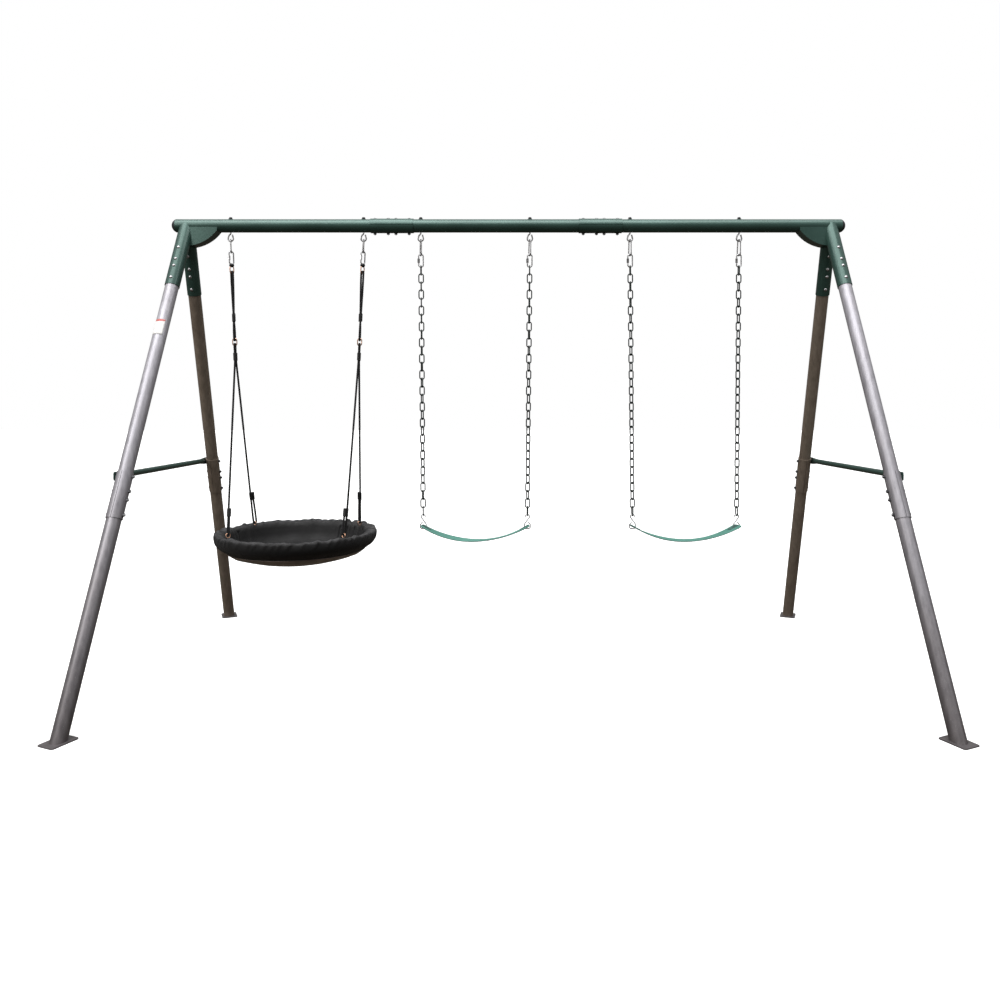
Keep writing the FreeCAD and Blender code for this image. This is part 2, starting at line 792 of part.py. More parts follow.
eyes = []
eye_nuts = []
for place in HANGERS:
    eyes.append((eye_bolt, Placement(Vector(place, 0, size("hanger_level")), Rotation())))
    crown = BEAM_AXIS + Vector(place, 0, size("beam_radius") + 0.05)
    eye_nuts.append((washer, Placement(crown, Rotation())))
    eye_nuts.append((nut, Placement(crown + Vector(0, 0, size("washer_thick") + 0.05), Rotation())))
group("eye_bolts", eyes)
group("eye_nuts", eye_nuts)


def clip_parts(hang, clip, gate_name, body_master, gate_master):
    """Places a carabiner and its gate below an eye; returns the carabiner's (object, placement)."""
    turned = hang.multiply(Placement(Vector(0, 0, 0), Rotation(ABOUT_Z, clip["yaw"])))
    hinge = Vector(GATE_X, 0, clip["top"] - clip["length"] + PIVOT_RISE)
    place = turned.multiply(Placement(hinge, Rotation()))
    group(gate_name, [(gate_master, place)])
    axis = place.Rotation.multVec(Vector(0, -1, 0))
    print("gate", gate_name, [round(value, 3) for value in (*place.Base, *axis)])
    return body_master, turned


def quick_link_parts(hang, centre, yaw):
    """A quick link and its threaded sleeve, centred at a height on the hang line."""
    turned = hang.multiply(Placement(Vector(0, 0, centre), Rotation(ABOUT_Z, yaw)))
    sleeve = turned.multiply(Placement(Vector(-QUICK_HALF_WIDTH, 0, 0), Rotation()))
    return [(quick_link, turned), (link_nut, sleeve)]


def gate_length(clip):
    return clip["length"] - PIVOT_RISE - NOSE_DROP - size("clip_wire") - 0.2


# ---------------------------------------------------------------- belt swings

belt_clip = make_carabiner("belt_clip_master", BELT_CLIP["top"], BELT_CLIP["length"])
belt_gate = make_gate("belt_gate_master", gate_length(BELT_CLIP))
chain_link = make_oval(
    "chain_link_master", size("chain_half_width"), size("chain_inner") / 2 + size("chain_wire"),
    "chain_wire",
)
HOOK_WIDTH = 9.4
LOOP_WIDTH = 13.8
LOOP_DROP = 68
hook = bent_wire("hook_master", [
    (-HOOK_WIDTH, -12, 0), (-HOOK_WIDTH, 0, 9), (HOOK_WIDTH, 0, 9), (HOOK_WIDTH, -14, 7),
    (-LOOP_WIDTH, -46, 7), (-LOOP_WIDTH, -LOOP_DROP, 7), (LOOP_WIDTH, -LOOP_DROP, 7),
    (LOOP_WIDTH, -48, 6), (3.5, -35.5, 0),
], "hook_wire", closed=False)

belt_link_centre = BELT_CLIP["top"] - BELT_CLIP["length"] + CLIP_GAP - QUICK_HALF_HEIGHT
chain_top = (belt_link_centre - QUICK_HALF_HEIGHT + size("clip_wire") + size("chain_wire")
             + size("link_gap"))
chain_pitch = size("chain_inner") - size("link_gap")
first_link = chain_top - size("chain_inner") / 2 - size("chain_wire")
last_link = first_link - (size("chain_links") - 1) * chain_pitch
chain_bottom = last_link - size("chain_inner") / 2 - size("chain_wire")
hook_top = chain_bottom + size("chain_wire") + size("hook_wire") + size("swivel_gap")
print("belt seat hinge level", round(size("hanger_level") + hook_top, 3))

SEAT_RADIUS = (size("seat_chord_half") ** 2 + size("seat_sag") ** 2) / (2 * size("seat_sag"))
SEAT_HOLE = size("belt_seat_half") - LOOP_WIDTH
SEAT_END = size("belt_seat_half") + LOOP_WIDTH - size("hook_wire") - 3
PLATE_INNER = size("belt_seat_half") - 34
PLATE_THICK = 2.5


def seat_rise(across):
    """How far the belt's middle line has risen from its lowest point, at a distance from its centre."""
    return SEAT_RADIUS - math.sqrt(SEAT_RADIUS**2 - across**2)


def make_strip(name, near, far, low, high, width_formula):
    """A curved strip between two offsets from the belt's middle line, spanning near to far in X."""
    body = new_body(name)
    centre = Vector(0, SEAT_RADIUS, 0)

    def on_curve(across, offset):
        angle = math.asin(across / SEAT_RADIUS)
        reach = SEAT_RADIUS - offset
        return centre + Vector(reach * math.sin(angle), -reach * math.cos(angle), 0)

    middle = (near + far) / 2
    corners = [on_curve(near, low), on_curve(far, low), on_curve(far, high), on_curve(near, high)]
    section = sketch_on(body, "XZ_Plane")
    section.addGeometry(Part.Arc(corners[0], on_curve(middle, low), corners[1]), False)
    section.addGeometry(Part.LineSegment(corners[1], corners[2]), False)
    section.addGeometry(Part.Arc(corners[2], on_curve(middle, high), corners[3]), False)
    section.addGeometry(Part.LineSegment(corners[3], corners[0]), False)
    doc.recompute()
    pad(body, section, width_formula, symmetric=True)
    doc.recompute()
    holes = sketch_on(body, "XY_Plane")
    for place in (-SEAT_HOLE, SEAT_HOLE):
        if near < place < far:
            add_circle(holes, "hook_wire + 4.5", place, 0)
    doc.recompute()
    pocket_through(body, holes)
    return body


half_thick = size("seat_thick") / 2
seat_master = make_strip("seat_master", -SEAT_END, SEAT_END, -half_thick, half_thick, "seat_width")
plate_master = make_strip("plate_master", PLATE_INNER, SEAT_END - 1, half_thick + 0.05,
                          half_thick + PLATE_THICK, "seat_width * 0.32")
# The belt lies on the hooks' lowest wire, where that wire's straight run ends.
slope_cosine = math.sqrt(1 - (SEAT_HOLE / SEAT_RADIUS) ** 2)
seat_bottom = (hook_top - LOOP_DROP + size("hook_wire") + 0.8 + half_thick / slope_cosine
               - seat_rise(size("belt_seat_half") - LOOP_WIDTH + 7))
# The chains close in a little on their way down to the seat.
CHAIN_LEAN = math.degrees(math.atan2(size("belt_hanger_half") - size("belt_seat_half"), LOOP_DROP - hook_top))


def link_turn(number):
    """Turn of a chain link about the chain: alternate links are square to each other, and the chain
    twists slowly on its way down and back over its last few links."""
    share = min(number / 22, (size("chain_links") - number) / 5)
    return size("chain_turn") * share + (0 if number % 2 else 90)


def make_belt_swing(letter, centre):
    """Everything that hangs on one belt swing, from its carabiners to its seat."""
    clips = []
    quick_links = []
    chain = []
    hooks = []
    for side_name, side in SIDES.items():
        corner = Vector(centre + side * size("belt_hanger_half"), 0, size("hanger_level"))
        hang = Placement(corner, Rotation(ABOUT_Y, side * CHAIN_LEAN))
        gate_name = f"belt_{letter}_gate_{side_name}"
        clips.append(clip_parts(hang, BELT_CLIP, gate_name, belt_clip, belt_gate))
        quick_links += quick_link_parts(hang, belt_link_centre, 0)
        for number in range(int(size("chain_links"))):
            level = Vector(0, 0, first_link - number * chain_pitch)
            turn = Rotation(ABOUT_Z, link_turn(number))
            chain.append((chain_link, hang.multiply(Placement(level, turn))))
        mirrored = Rotation(ABOUT_Z, 0 if side > 0 else 180)
        hooks.append((hook, hang.multiply(Placement(Vector(0, 0, hook_top), mirrored))))
    group(f"belt_{letter}_carabiners", clips)
    group(f"belt_{letter}_quick_links", quick_links)
    group(f"belt_{letter}_chains", chain)
    group(f"belt_{letter}_hooks", hooks)
    # Tilted, the belt stands a little off the chains' plane, so that its weight stays under them.
    weight_drop = seat_rise(SEAT_HOLE) - seat_rise(SEAT_END) / 3
    balance = weight_drop * math.sin(math.radians(size("seat_tilt")))
    pivot = Vector(centre, balance, size("hanger_level") + seat_bottom + seat_rise(SEAT_HOLE))
    sink = Placement(Vector(0, 0, -seat_rise(SEAT_HOLE)), Rotation())
    seat_place = Placement(pivot, Rotation(ABOUT_X, -size("seat_tilt"))).multiply(sink)
    group(f"belt_{letter}_seat", [(seat_master, seat_place)])
    far_side = seat_place.multiply(Placement(Vector(0, 0, 0), HALF_TURN))
    group(f"belt_{letter}_end_plates", [(plate_master, seat_place), (plate_master, far_side)])


make_belt_swing("a", size("belt_centre_a"))
make_belt_swing("b", size("belt_centre_b"))


# ---------------------------------------------------------------- saucer swing

SAUCER_X = (size("saucer_hanger_out") + size("saucer_hanger_in")) / 2
SAUCER_HALF = (size("saucer_hanger_in") - size("saucer_hanger_out")) / 2
RING_HALF_HEIGHT = 17
RING_HALF_WIDTH = 10
RING_WIRE = 2.5
RING_YAW = 50
RIM_RING = 10
RIM_RING_WIRE = 2
ADJUSTER = {"wide": 25, "deep": 15, "corner": 5}
UPPER_ADJUSTER = -370
LOWER_ADJUSTER = -559
FRONT_ADJUSTER = 103
REAR_ADJUSTER = 143

saucer_clip = make_carabiner("saucer_clip_master", SAUCER_CLIP["top"], SAUCER_CLIP["length"])
saucer_gate = make_gate("saucer_gate_master", gate_length(SAUCER_CLIP))
rope_ring = bent_wire("rope_ring_master", [
    (RING_HALF_WIDTH, -RING_HALF_HEIGHT, 9.9), (RING_HALF_WIDTH, RING_HALF_HEIGHT, 9.9),
    (-RING_HALF_WIDTH, RING_HALF_HEIGHT, 9.9), (-RING_HALF_WIDTH, -RING_HALF_HEIGHT, 9.9),
], "hook_wire", closed=True)


def make_adjuster():
    """Plastic block that clamps two runs of rope side by side, along Z about the origin."""
    body = new_body("adjuster_master")
    outline = sketch_on(body, "XY_Plane")
    half_x = ADJUSTER["wide"] / 2
    half_y = ADJUSTER["deep"] / 2
    corner = ADJUSTER["corner"]
    add_outline(outline, [
        (half_x, half_y, corner), (-half_x, half_y, corner),
        (-half_x, -half_y, corner), (half_x, -half_y, corner),
    ])
    doc.recompute()
    pad(body, outline, "adjuster_length", symmetric=True)
    return body


def make_lashing():
    """Short whipped collar that ties the rope ring to the quick link."""
    body = new_body("lashing_master")
    profile = sketch_on(body, "XZ_Plane")
    half = 9
    profile.addGeometry(Part.Arc(Vector(0, -half, 0), Vector(7, 0, 0), Vector(0, half, 0)), False)
    profile.addGeometry(Part.LineSegment(Vector(0, half, 0), Vector(0, -half, 0)), False)
    doc.recompute()
    revolve(body, profile)
    return body


def make_rope(name, route, bends):
    """A round rope along straight runs joined by tangent arcs."""
    radius = size("rope_radius")
    corners = [(point, bend) for point, bend in zip(route, bends)]
    pieces = rounded(corners)
    path = Part.Wire([piece.toShape() for piece in pieces])
    start = pieces[0].StartPoint
    along = (pieces[0].EndPoint - start).normalize()
    section = Part.Wire([Part.makeCircle(radius, start, along)])
    rope = doc.addObject("Part::Feature", name)
    rope.Shape = path.makePipeShell([section], True, False)
    expected = math.pi * radius**2 * path.Length
    print(name, "length", round(path.Length, 1), "volume share", round(rope.Shape.Volume / expected, 4),
          "bends", [round(bend, 1) for bend in bends if bend])
    keep(rope, name)


def natural_bends(route):
    """The bend radius at each inner point: as large as its two runs allow."""
    bends = [0]
    for before, here, after in zip(route, route[1:], route[2:]):
        turn = (here - before).getAngle(after - here)
        shorter = min((here - before).Length, (after - here).Length)
        bends.append(0.45 * shorter / math.tan(turn / 2))
    return bends + [0]


def make_saucer_side(side_name, side):
    """One side's suspension: returns its placed hardware and makes its two ropes."""
    corner = Vector(SAUCER_X + side * SAUCER_HALF, 0, size("hanger_level"))
    aim = Vector(SAUCER_X + side * size("rope_end_x"), 0, size("rope_end_level"))
    lean = math.degrees(math.atan2(aim.x - corner.x, corner.z - aim.z))
    hang = Placement(corner, Rotation(ABOUT_Y, -lean))
    clip = clip_parts(hang, SAUCER_CLIP, f"saucer_gate_{side_name}", saucer_clip, saucer_gate)
    link_centre = SAUCER_CLIP["top"] - SAUCER_CLIP["length"] + CLIP_GAP - QUICK_HALF_HEIGHT
    links = quick_link_parts(hang, link_centre, 45)
    link_bottom = link_centre - QUICK_HALF_HEIGHT
    upper_ring = link_bottom - 10 - RING_HALF_HEIGHT
    lower_ring = (UPPER_ADJUSTER + LOWER_ADJUSTER) / 2 - 24
    lashing_level = link_bottom - 5
    rings = [
        (rope_ring, hang.multiply(Placement(Vector(0, 0, upper_ring), Rotation(ABOUT_Z, RING_YAW)))),
        (rope_ring, hang.multiply(Placement(Vector(0, 0, lower_ring), Rotation()))),
    ]
    lashings = [(lashing_master, hang.multiply(Placement(Vector(0, 0, lashing_level), Rotation())))]
    wrap = size("rope_radius") + size("hook_wire") + 0.5
    touch = size("rope_radius") + 0.1
    yaw = math.radians(RING_YAW)
    spread = Vector(-math.sin(yaw), math.cos(yaw), 0)
    fore = Vector(0, 1, 0)
    between = (spread + fore).normalize()
    top = upper_ring - RING_HALF_HEIGHT + wrap
    low = lower_ring + RING_HALF_HEIGHT - wrap
    upper_route = [
        between * touch + Vector(0, 0, UPPER_ADJUSTER + 4),
        spread * wrap + Vector(0, 0, top),
        spread * -wrap + Vector(0, 0, top),
        between * -touch + Vector(0, 0, UPPER_ADJUSTER),
        fore * -wrap + Vector(0, 0, low),
        fore * wrap + Vector(0, 0, low),
        between * touch + Vector(0, 0, UPPER_ADJUSTER - 4),
    ]
    upper_route = [hang.multVec(point) for point in upper_route]
    make_rope(f"rope_upper_{side_name}", upper_route, natural_bends(upper_route))

    adjusters = [
        (adjuster_master, hang.multiply(Placement(Vector(0, 0, UPPER_ADJUSTER), wide_along(between)))),
        (adjuster_master, hang.multiply(Placement(Vector(0, 0, LOWER_ADJUSTER), wide_along(fore)))),
    ]
    apex = {end: hang.multVec(fore * (end * touch) + Vector(0, 0, LOWER_ADJUSTER - 8)) for end in (-1, 1)}
    turn_level = lower_ring - RING_HALF_HEIGHT + wrap
    peak = {end: hang.multVec(fore * (end * wrap) + Vector(0, 0, turn_level)) for end in (-1, 1)}
    rim_wrap = size("rope_radius") + RIM_RING_WIRE + 0.3
    ends = {}
    rim_rings = []
    for end, rise in ((-1, FRONT_ADJUSTER), (1, REAR_ADJUSTER)):
        rim = Vector(SAUCER_X + side * size("rope_end_x"), end * size("rope_end_y"), size("rope_end_level"))
        outward = Vector(side * size("rope_end_x"), end * size("rope_end_y"), 0).normalize()
        sideways = Vector(0, 0, 1).cross(outward)
        if sideways.y * end > 0:
            sideways = sideways * -1
        up = (apex[end] - rim).normalize()
        across = (sideways - up * sideways.dot(up)).normalize()
        tuck = rim - up * rim_wrap
        clamp = tuck + up * rise
        ends[end] = [
            tuck + across * rim_wrap,
            tuck - across * rim_wrap,
            clamp - across * touch,
        ]
        adjusters.append((adjuster_master, squared_place(clamp, up, across)))
        ring_place = squared_place(rim - up * RIM_RING, up, across)
        rim_rings.append((rim_ring, ring_place.multiply(Placement(Vector(0, 0, 0), ALONG_X))))
    lower_route = ends[-1][::-1] + [apex[-1], peak[-1], peak[1], apex[1]] + ends[1]
    make_rope(f"rope_lower_{side_name}", lower_route, natural_bends(lower_route))
    return clip, links, lashings, rings, adjusters, rim_rings


def wide_along(direction):
    """Turn about Z that lays an adjuster's wide side along a level direction."""
    return Rotation(ABOUT_Z, math.degrees(math.atan2(direction.y, direction.x)))


def squared_place(centre, up, across):
    """Placement whose Z is up and whose X is across, which is square to it."""
    depth = up.cross(across)
    return Placement(FreeCAD.Matrix(
        across.x, depth.x, up.x, centre.x,
        across.y, depth.y, up.y, centre.y,
        across.z, depth.z, up.z, centre.z,
        0, 0, 0, 1,
    ))


adjuster_master = make_adjuster()
lashing_master = make_lashing()
rim_ring = doc.addObject("Part::Torus", "rim_ring_master")
rim_ring.Radius1 = RIM_RING
rim_ring.Radius2 = RIM_RING_WIRE


def make_bowl():
    """Seat sheet hung inside the rim: a shallow dish whose edge curls up into the rim pad."""
    body = new_body("saucer_bowl")
    profile = sketch_on(body, "XZ_Plane")
    thick = size("bowl_thick")
    outer = size("bowl_sphere")
    curl = size("bowl_curl")
    dish_angle = math.asin(size("bowl_dish") / outer)
    edge_angle = math.radians(67)
    dish_centre = Vector(0, outer, 0)

    def around(centre, radius, angle):
        return centre + Vector(radius * math.sin(angle), -radius * math.cos(angle), 0)

    def swept(centre, radius, start, stop):
        middle = around(centre, radius, (start + stop) / 2)
        return Part.Arc(around(centre, radius, start), middle, around(centre, radius, stop))

    curl_centre = around(dish_centre, outer - curl, dish_angle)
    outer_edge = around(curl_centre, curl, edge_angle)
    inner_edge = around(curl_centre, curl - thick, edge_angle)
    profile.addGeometry(swept(dish_centre, outer, 0, dish_angle), False)
    profile.addGeometry(swept(curl_centre, curl, dish_angle, edge_angle), False)
    profile.addGeometry(Part.LineSegment(outer_edge, inner_edge), False)
    profile.addGeometry(swept(curl_centre, curl - thick, edge_angle, dish_angle), False)
    profile.addGeometry(swept(dish_centre, outer - thick, dish_angle, 0), False)
    profile.addGeometry(Part.LineSegment(Vector(0, thick, 0), Vector(0, 0, 0)), False)
    doc.recompute()
    revolve(body, profile)
    keep(body, "saucer_bowl", Placement(Vector(SAUCER_X, 0, size("bowl_bottom")), Rotation()))


def make_rim(name, radius_formula):
    ring = doc.addObject("Part::Torus", name)
    bind(ring, "Radius1", "saucer_rim")
    bind(ring, "Radius2", radius_formula)
    keep(ring, name, Placement(Vector(SAUCER_X, 0, size("saucer_level")), Rotation()))


hardware = [[], [], [], [], [], []]
for side_name, side in SIDES.items():
    for pile, placed in zip(hardware, make_saucer_side(side_name, side)):
        pile += placed if isinstance(placed, list) else [placed]
for node, pile in zip(
    ("saucer_carabiners", "saucer_quick_links", "rope_lashings", "rope_rings", "rope_adjusters",
     "rim_rings"), hardware,
):
    group(node, pile)
make_rim("saucer_rim_tube", "rim_tube")
make_rim("saucer_rim_pad", "rim_pad")
make_bowl()


# ---------------------------------------------------------------- check and export

doc.recompute()
for thing in doc.Objects:
    if "Invalid" in thing.State or "Error" in thing.State:
        raise RuntimeError(f"{thing.Name} failed: {thing.State}")
os.makedirs(PARTS, exist_ok=True)
for thing in subparts:
    if thing.Shape.isNull() or not thing.Shape.isValid():
        raise RuntimeError(f"{thing.Label} has no valid shape")
for thing in subparts:
    thing.Shape.exportStep(os.path.join(PARTS, thing.Label + ".step"))
print(len(subparts), "sub-parts written")
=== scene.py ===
import math
import random

import bpy
import numpy as np
from mathutils import Matrix, Vector, noise


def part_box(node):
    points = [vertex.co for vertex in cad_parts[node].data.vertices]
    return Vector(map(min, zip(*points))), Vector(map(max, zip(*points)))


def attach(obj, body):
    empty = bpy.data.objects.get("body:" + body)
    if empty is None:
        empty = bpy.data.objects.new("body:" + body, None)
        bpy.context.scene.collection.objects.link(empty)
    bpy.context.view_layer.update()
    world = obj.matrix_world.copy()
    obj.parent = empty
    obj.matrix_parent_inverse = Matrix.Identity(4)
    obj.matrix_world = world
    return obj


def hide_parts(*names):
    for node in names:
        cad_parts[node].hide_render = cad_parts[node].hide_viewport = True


# Swing set in the shared frame: metres, X along the beam, front at -Y, Z up from the ground.

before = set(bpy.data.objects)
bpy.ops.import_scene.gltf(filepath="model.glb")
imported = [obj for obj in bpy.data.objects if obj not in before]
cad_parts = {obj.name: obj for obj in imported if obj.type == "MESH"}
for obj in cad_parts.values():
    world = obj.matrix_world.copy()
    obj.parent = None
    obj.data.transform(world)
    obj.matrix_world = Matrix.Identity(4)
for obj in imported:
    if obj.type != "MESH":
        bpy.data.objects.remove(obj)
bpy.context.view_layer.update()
scene = bpy.context.scene

CAMERA_PLACE = Vector((0.0, -3.777, 1.239))
LENS = 28.1
SENSOR = 36.0
SHIFT = (-0.0085, -0.092)
SUN_STRENGTH = 2.4
SUN_SPREAD = math.radians(55)
SUN_DIRECTION = Vector((0.22, 0.5, -0.84))
# Colour of the surroundings: position 0 is straight down, 0.5 the horizon and 1 straight up.
WORLD_LEVELS = [
    (0.0, (0.060, 0.048, 0.036)), (0.50, (0.10, 0.085, 0.07)), (0.70, (0.18, 0.18, 0.18)),
    (0.80, (0.85, 0.85, 0.85)), (1.0, (1.0, 1.0, 1.0)),
]


# ---------------------------------------------------------------- camera, floor and light

def make_camera():
    """Level camera in front of the set, at the height of a standing child."""
    data = bpy.data.cameras.new("camera")
    data.lens = LENS
    data.sensor_width = SENSOR
    data.shift_x = SHIFT[0]
    data.shift_y = SHIFT[1]
    data.clip_end = 200
    camera = bpy.data.objects.new("camera", data)
    camera.location = CAMERA_PLACE
    camera.rotation_euler = (math.radians(90), 0, 0)
    scene.collection.objects.link(camera)
    scene.camera = camera


def make_area(name, place, aim, size, energy, color):
    """Rectangular softbox at a place, turned to face its aim."""
    data = bpy.data.lights.new(name, "AREA")
    data.shape = "RECTANGLE"
    data.size = size[0]
    data.size_y = size[1]
    data.energy = energy
    data.color = color
    light = bpy.data.objects.new(name, data)
    light.location = place
    direction = Vector(aim) - Vector(place)
    light.rotation_euler = direction.to_track_quat("-Z", "Y").to_euler()
    scene.collection.objects.link(light)


def make_sun():
    """Broad soft daylight from above, in front and a little to the left."""
    data = bpy.data.lights.new("sky_light", "SUN")
    data.energy = SUN_STRENGTH
    data.angle = SUN_SPREAD
    light = bpy.data.objects.new("sky_light", data)
    light.rotation_euler = SUN_DIRECTION.to_track_quat("-Z", "Y").to_euler()
    scene.collection.objects.link(light)


def make_world():
    """Surroundings that are bright overhead and dim and warm below; the camera sees plain white."""
    world = bpy.data.worlds.new("pale_world")
    world.use_nodes = True
    nodes = world.node_tree.nodes
    links = world.node_tree.links
    place = nodes.new("ShaderNodeTexCoord")
    parts = nodes.new("ShaderNodeSeparateXYZ")
    links.new(place.outputs["Generated"], parts.inputs["Vector"])
    rise = nodes.new("ShaderNodeMapRange")
    rise.inputs["From Min"].default_value = -1.0
    links.new(parts.outputs["Z"], rise.inputs["Value"])
    ramp = nodes.new("ShaderNodeValToRGB")
    while len(ramp.color_ramp.elements) < len(WORLD_LEVELS):
        ramp.color_ramp.elements.new(0.5)
    for element, (position, level) in zip(ramp.color_ramp.elements, WORLD_LEVELS):
        element.position = position
        element.color = (*level, 1.0)
    links.new(rise.outputs["Result"], ramp.inputs["Fac"])
    lit = nodes["Background"]
    links.new(ramp.outputs["Color"], lit.inputs["Color"])
    white = nodes.new("ShaderNodeBackground")
    seen = nodes.new("ShaderNodeLightPath")
    mix = nodes.new("ShaderNodeMixShader")
    links.new(seen.outputs["Is Camera Ray"], mix.inputs["Fac"])
    links.new(lit.outputs["Background"], mix.inputs[1])
    links.new(white.outputs["Background"], mix.inputs[2])
    links.new(mix.outputs["Shader"], nodes["World Output"].inputs["Surface"])
    white.inputs["Color"].default_value = (1.0, 1.0, 1.0, 1.0)
    scene.world = world


def make_lights():
    """Overhead softbox, a soft key from the left and a weak fill, with the sun and the surroundings."""
    make_area("overhead", (0, -0.6, 4.6), (0, 0, 1.2), (5.4, 1.6), 75, (1.0, 1.0, 1.0))
    make_area("key", (-4.6, -4.2, 3.4), (-0.4, 0, 1.0), (2.2, 2.6), 95, (1.0, 0.985, 0.96))
    make_area("fill", (4.8, -3.6, 2.2), (0.6, 0, 1.0), (2.0, 2.2), 22, (0.96, 0.98, 1.0))
    make_sun()
    make_world()
    scene.view_settings.view_transform = "Standard"


# ---------------------------------------------------------------- material tools

class Finish:
    """A Principled material with short calls for the nodes that vary it."""

    def __init__(self, name, color, roughness, metallic=0.0, specular=0.5, coat=0.0):
        self.material = bpy.data.materials.new(name)
        self.material.use_nodes = True
        self.tree = self.material.node_tree
        self.shader = self.tree.nodes["Principled BSDF"]
        self.shader.inputs["Base Color"].default_value = (*color, 1.0)
        self.shader.inputs["Roughness"].default_value = roughness
        self.shader.inputs["Metallic"].default_value = metallic
        self.shader.inputs["Specular IOR Level"].default_value = specular
        self.shader.inputs["Coat Weight"].default_value = coat
        self.shader.inputs["Coat Roughness"].default_value = 0.15
        self.place = self.tree.nodes.new("ShaderNodeTexCoord").outputs["Object"]
        self.height = None

    def link(self, output, target):
        self.tree.links.new(output, target)

    def scaled(self, scale):
        """The piece's own coordinates, scaled per axis."""
        node = self.tree.nodes.new("ShaderNodeMapping")
        node.inputs["Scale"].default_value = scale
        self.link(self.place, node.inputs["Vector"])
        return node.outputs["Vector"]

    def noise(self, scale, detail=3.0, roughness=0.55, vector=None):
        node = self.tree.nodes.new("ShaderNodeTexNoise")
        node.inputs["Scale"].default_value = scale
        node.inputs["Detail"].default_value = detail
        node.inputs["Roughness"].default_value = roughness
        self.link(vector or self.place, node.inputs["Vector"])
        return node.outputs["Fac"]

    def wave(self, scale, direction, distortion):
        node = self.tree.nodes.new("ShaderNodeTexWave")
        node.bands_direction = direction
        node.inputs["Scale"].default_value = scale
        node.inputs["Distortion"].default_value = distortion
        self.link(self.place, node.inputs["Vector"])
        return node.outputs["Fac"]

    def voronoi(self, scale):
        node = self.tree.nodes.new("ShaderNodeTexVoronoi")
        node.inputs["Scale"].default_value = scale
        self.link(self.place, node.inputs["Vector"])
        return node.outputs["Distance"]

    def axis(self, name):
        node = self.tree.nodes.new("ShaderNodeSeparateXYZ")
        self.link(self.place, node.inputs["Vector"])
        return node.outputs[name]

    def math(self, operation, first, second):
        node = self.tree.nodes.new("ShaderNodeMath")
        node.operation = operation
        for socket, value in zip(node.inputs, (first, second)):
            if isinstance(value, (int, float)):
                socket.default_value = value
            else:
                self.link(value, socket)
        return node.outputs["Value"]

    def ramp(self, factor, stops):
        """Colour or grey ramp: stops are (position, colour) or (position, value)."""
        node = self.tree.nodes.new("ShaderNodeValToRGB")
        ramp = node.color_ramp
        while len(ramp.elements) < len(stops):
            ramp.elements.new(0.5)
        for element, (position, value) in zip(ramp.elements, stops):
            element.position = position
            shade = (value, value, value) if isinstance(value, (int, float)) else value
            element.color = (*shade, 1.0)
        self.link(factor, node.inputs["Fac"])
        return node.outputs["Color"]

    def blend(self, kind, factor, first, second):
        """Mix of two colours; each input is a number, a colour or another node's output."""
        node = self.tree.nodes.new("ShaderNodeMix")
        node.data_type = "RGBA"
        node.blend_type = kind
        sockets = {
            "factor": node.inputs["Factor"],
            "first": [s for s in node.inputs if s.name == "A" and s.type == "RGBA"][0],
            "second": [s for s in node.inputs if s.name == "B" and s.type == "RGBA"][0],
        }
        for key, value in (("factor", factor), ("first", first), ("second", second)):
            if isinstance(value, (int, float)):
                sockets[key].default_value = value
            elif isinstance(value, tuple):
                sockets[key].default_value = (*value, 1.0)
            else:
                self.link(value, sockets[key])
        return [s for s in node.outputs if s.type == "RGBA"][0]

    def color(self, output):
        self.link(output, self.shader.inputs["Base Color"])

    def roughness(self, factor, low, high):
        self.link(self.ramp(factor, [(0.25, low), (0.75, high)]), self.shader.inputs["Roughness"])

    def bump(self, factor, strength, distance):
        """Adds a bump layer over those already there."""
        node = self.tree.nodes.new("ShaderNodeBump")
        node.inputs["Strength"].default_value = strength
        node.inputs["Distance"].default_value = distance
        self.link(factor, node.inputs["Height"])
        if self.height is not None:
            self.link(self.height, node.inputs["Normal"])
        self.height = node.outputs["Normal"]
        self.link(self.height, self.shader.inputs["Normal"])

    def sheen(self, weight, roughness, tint):
        self.shader.inputs["Sheen Weight"].default_value = weight
        self.shader.inputs["Sheen Roughness"].default_value = roughness
        self.shader.inputs["Sheen Tint"].default_value = (*tint, 1.0)


# ---------------------------------------------------------------- materials

def green_enamel():
    """Deep forest-green metallic enamel with a faint orange peel and a little dust."""
    finish = Finish("green_enamel", (0.035, 0.078, 0.066), 0.36, metallic=0.4, specular=0.45, coat=0.25)
    cloud = finish.noise(3.2, 4.0)
    base = finish.ramp(cloud, [(0.3, (0.030, 0.070, 0.058)), (0.7, (0.046, 0.100, 0.084))])
    dust = finish.ramp(finish.noise(42.0, 5.0, 0.7), [(0.55, 0.0), (0.8, 0.18)])
    finish.color(finish.blend("MIX", dust, base, (0.075, 0.105, 0.095)))
    finish.roughness(finish.noise(9.0), 0.30, 0.42)
    finish.bump(finish.noise(420.0, 2.0), 0.06, 0.0006)
    return finish.material


# Height at which the painted shade of the lower legs has faded out.
LEG_SHADE_HEIGHT = 1.55


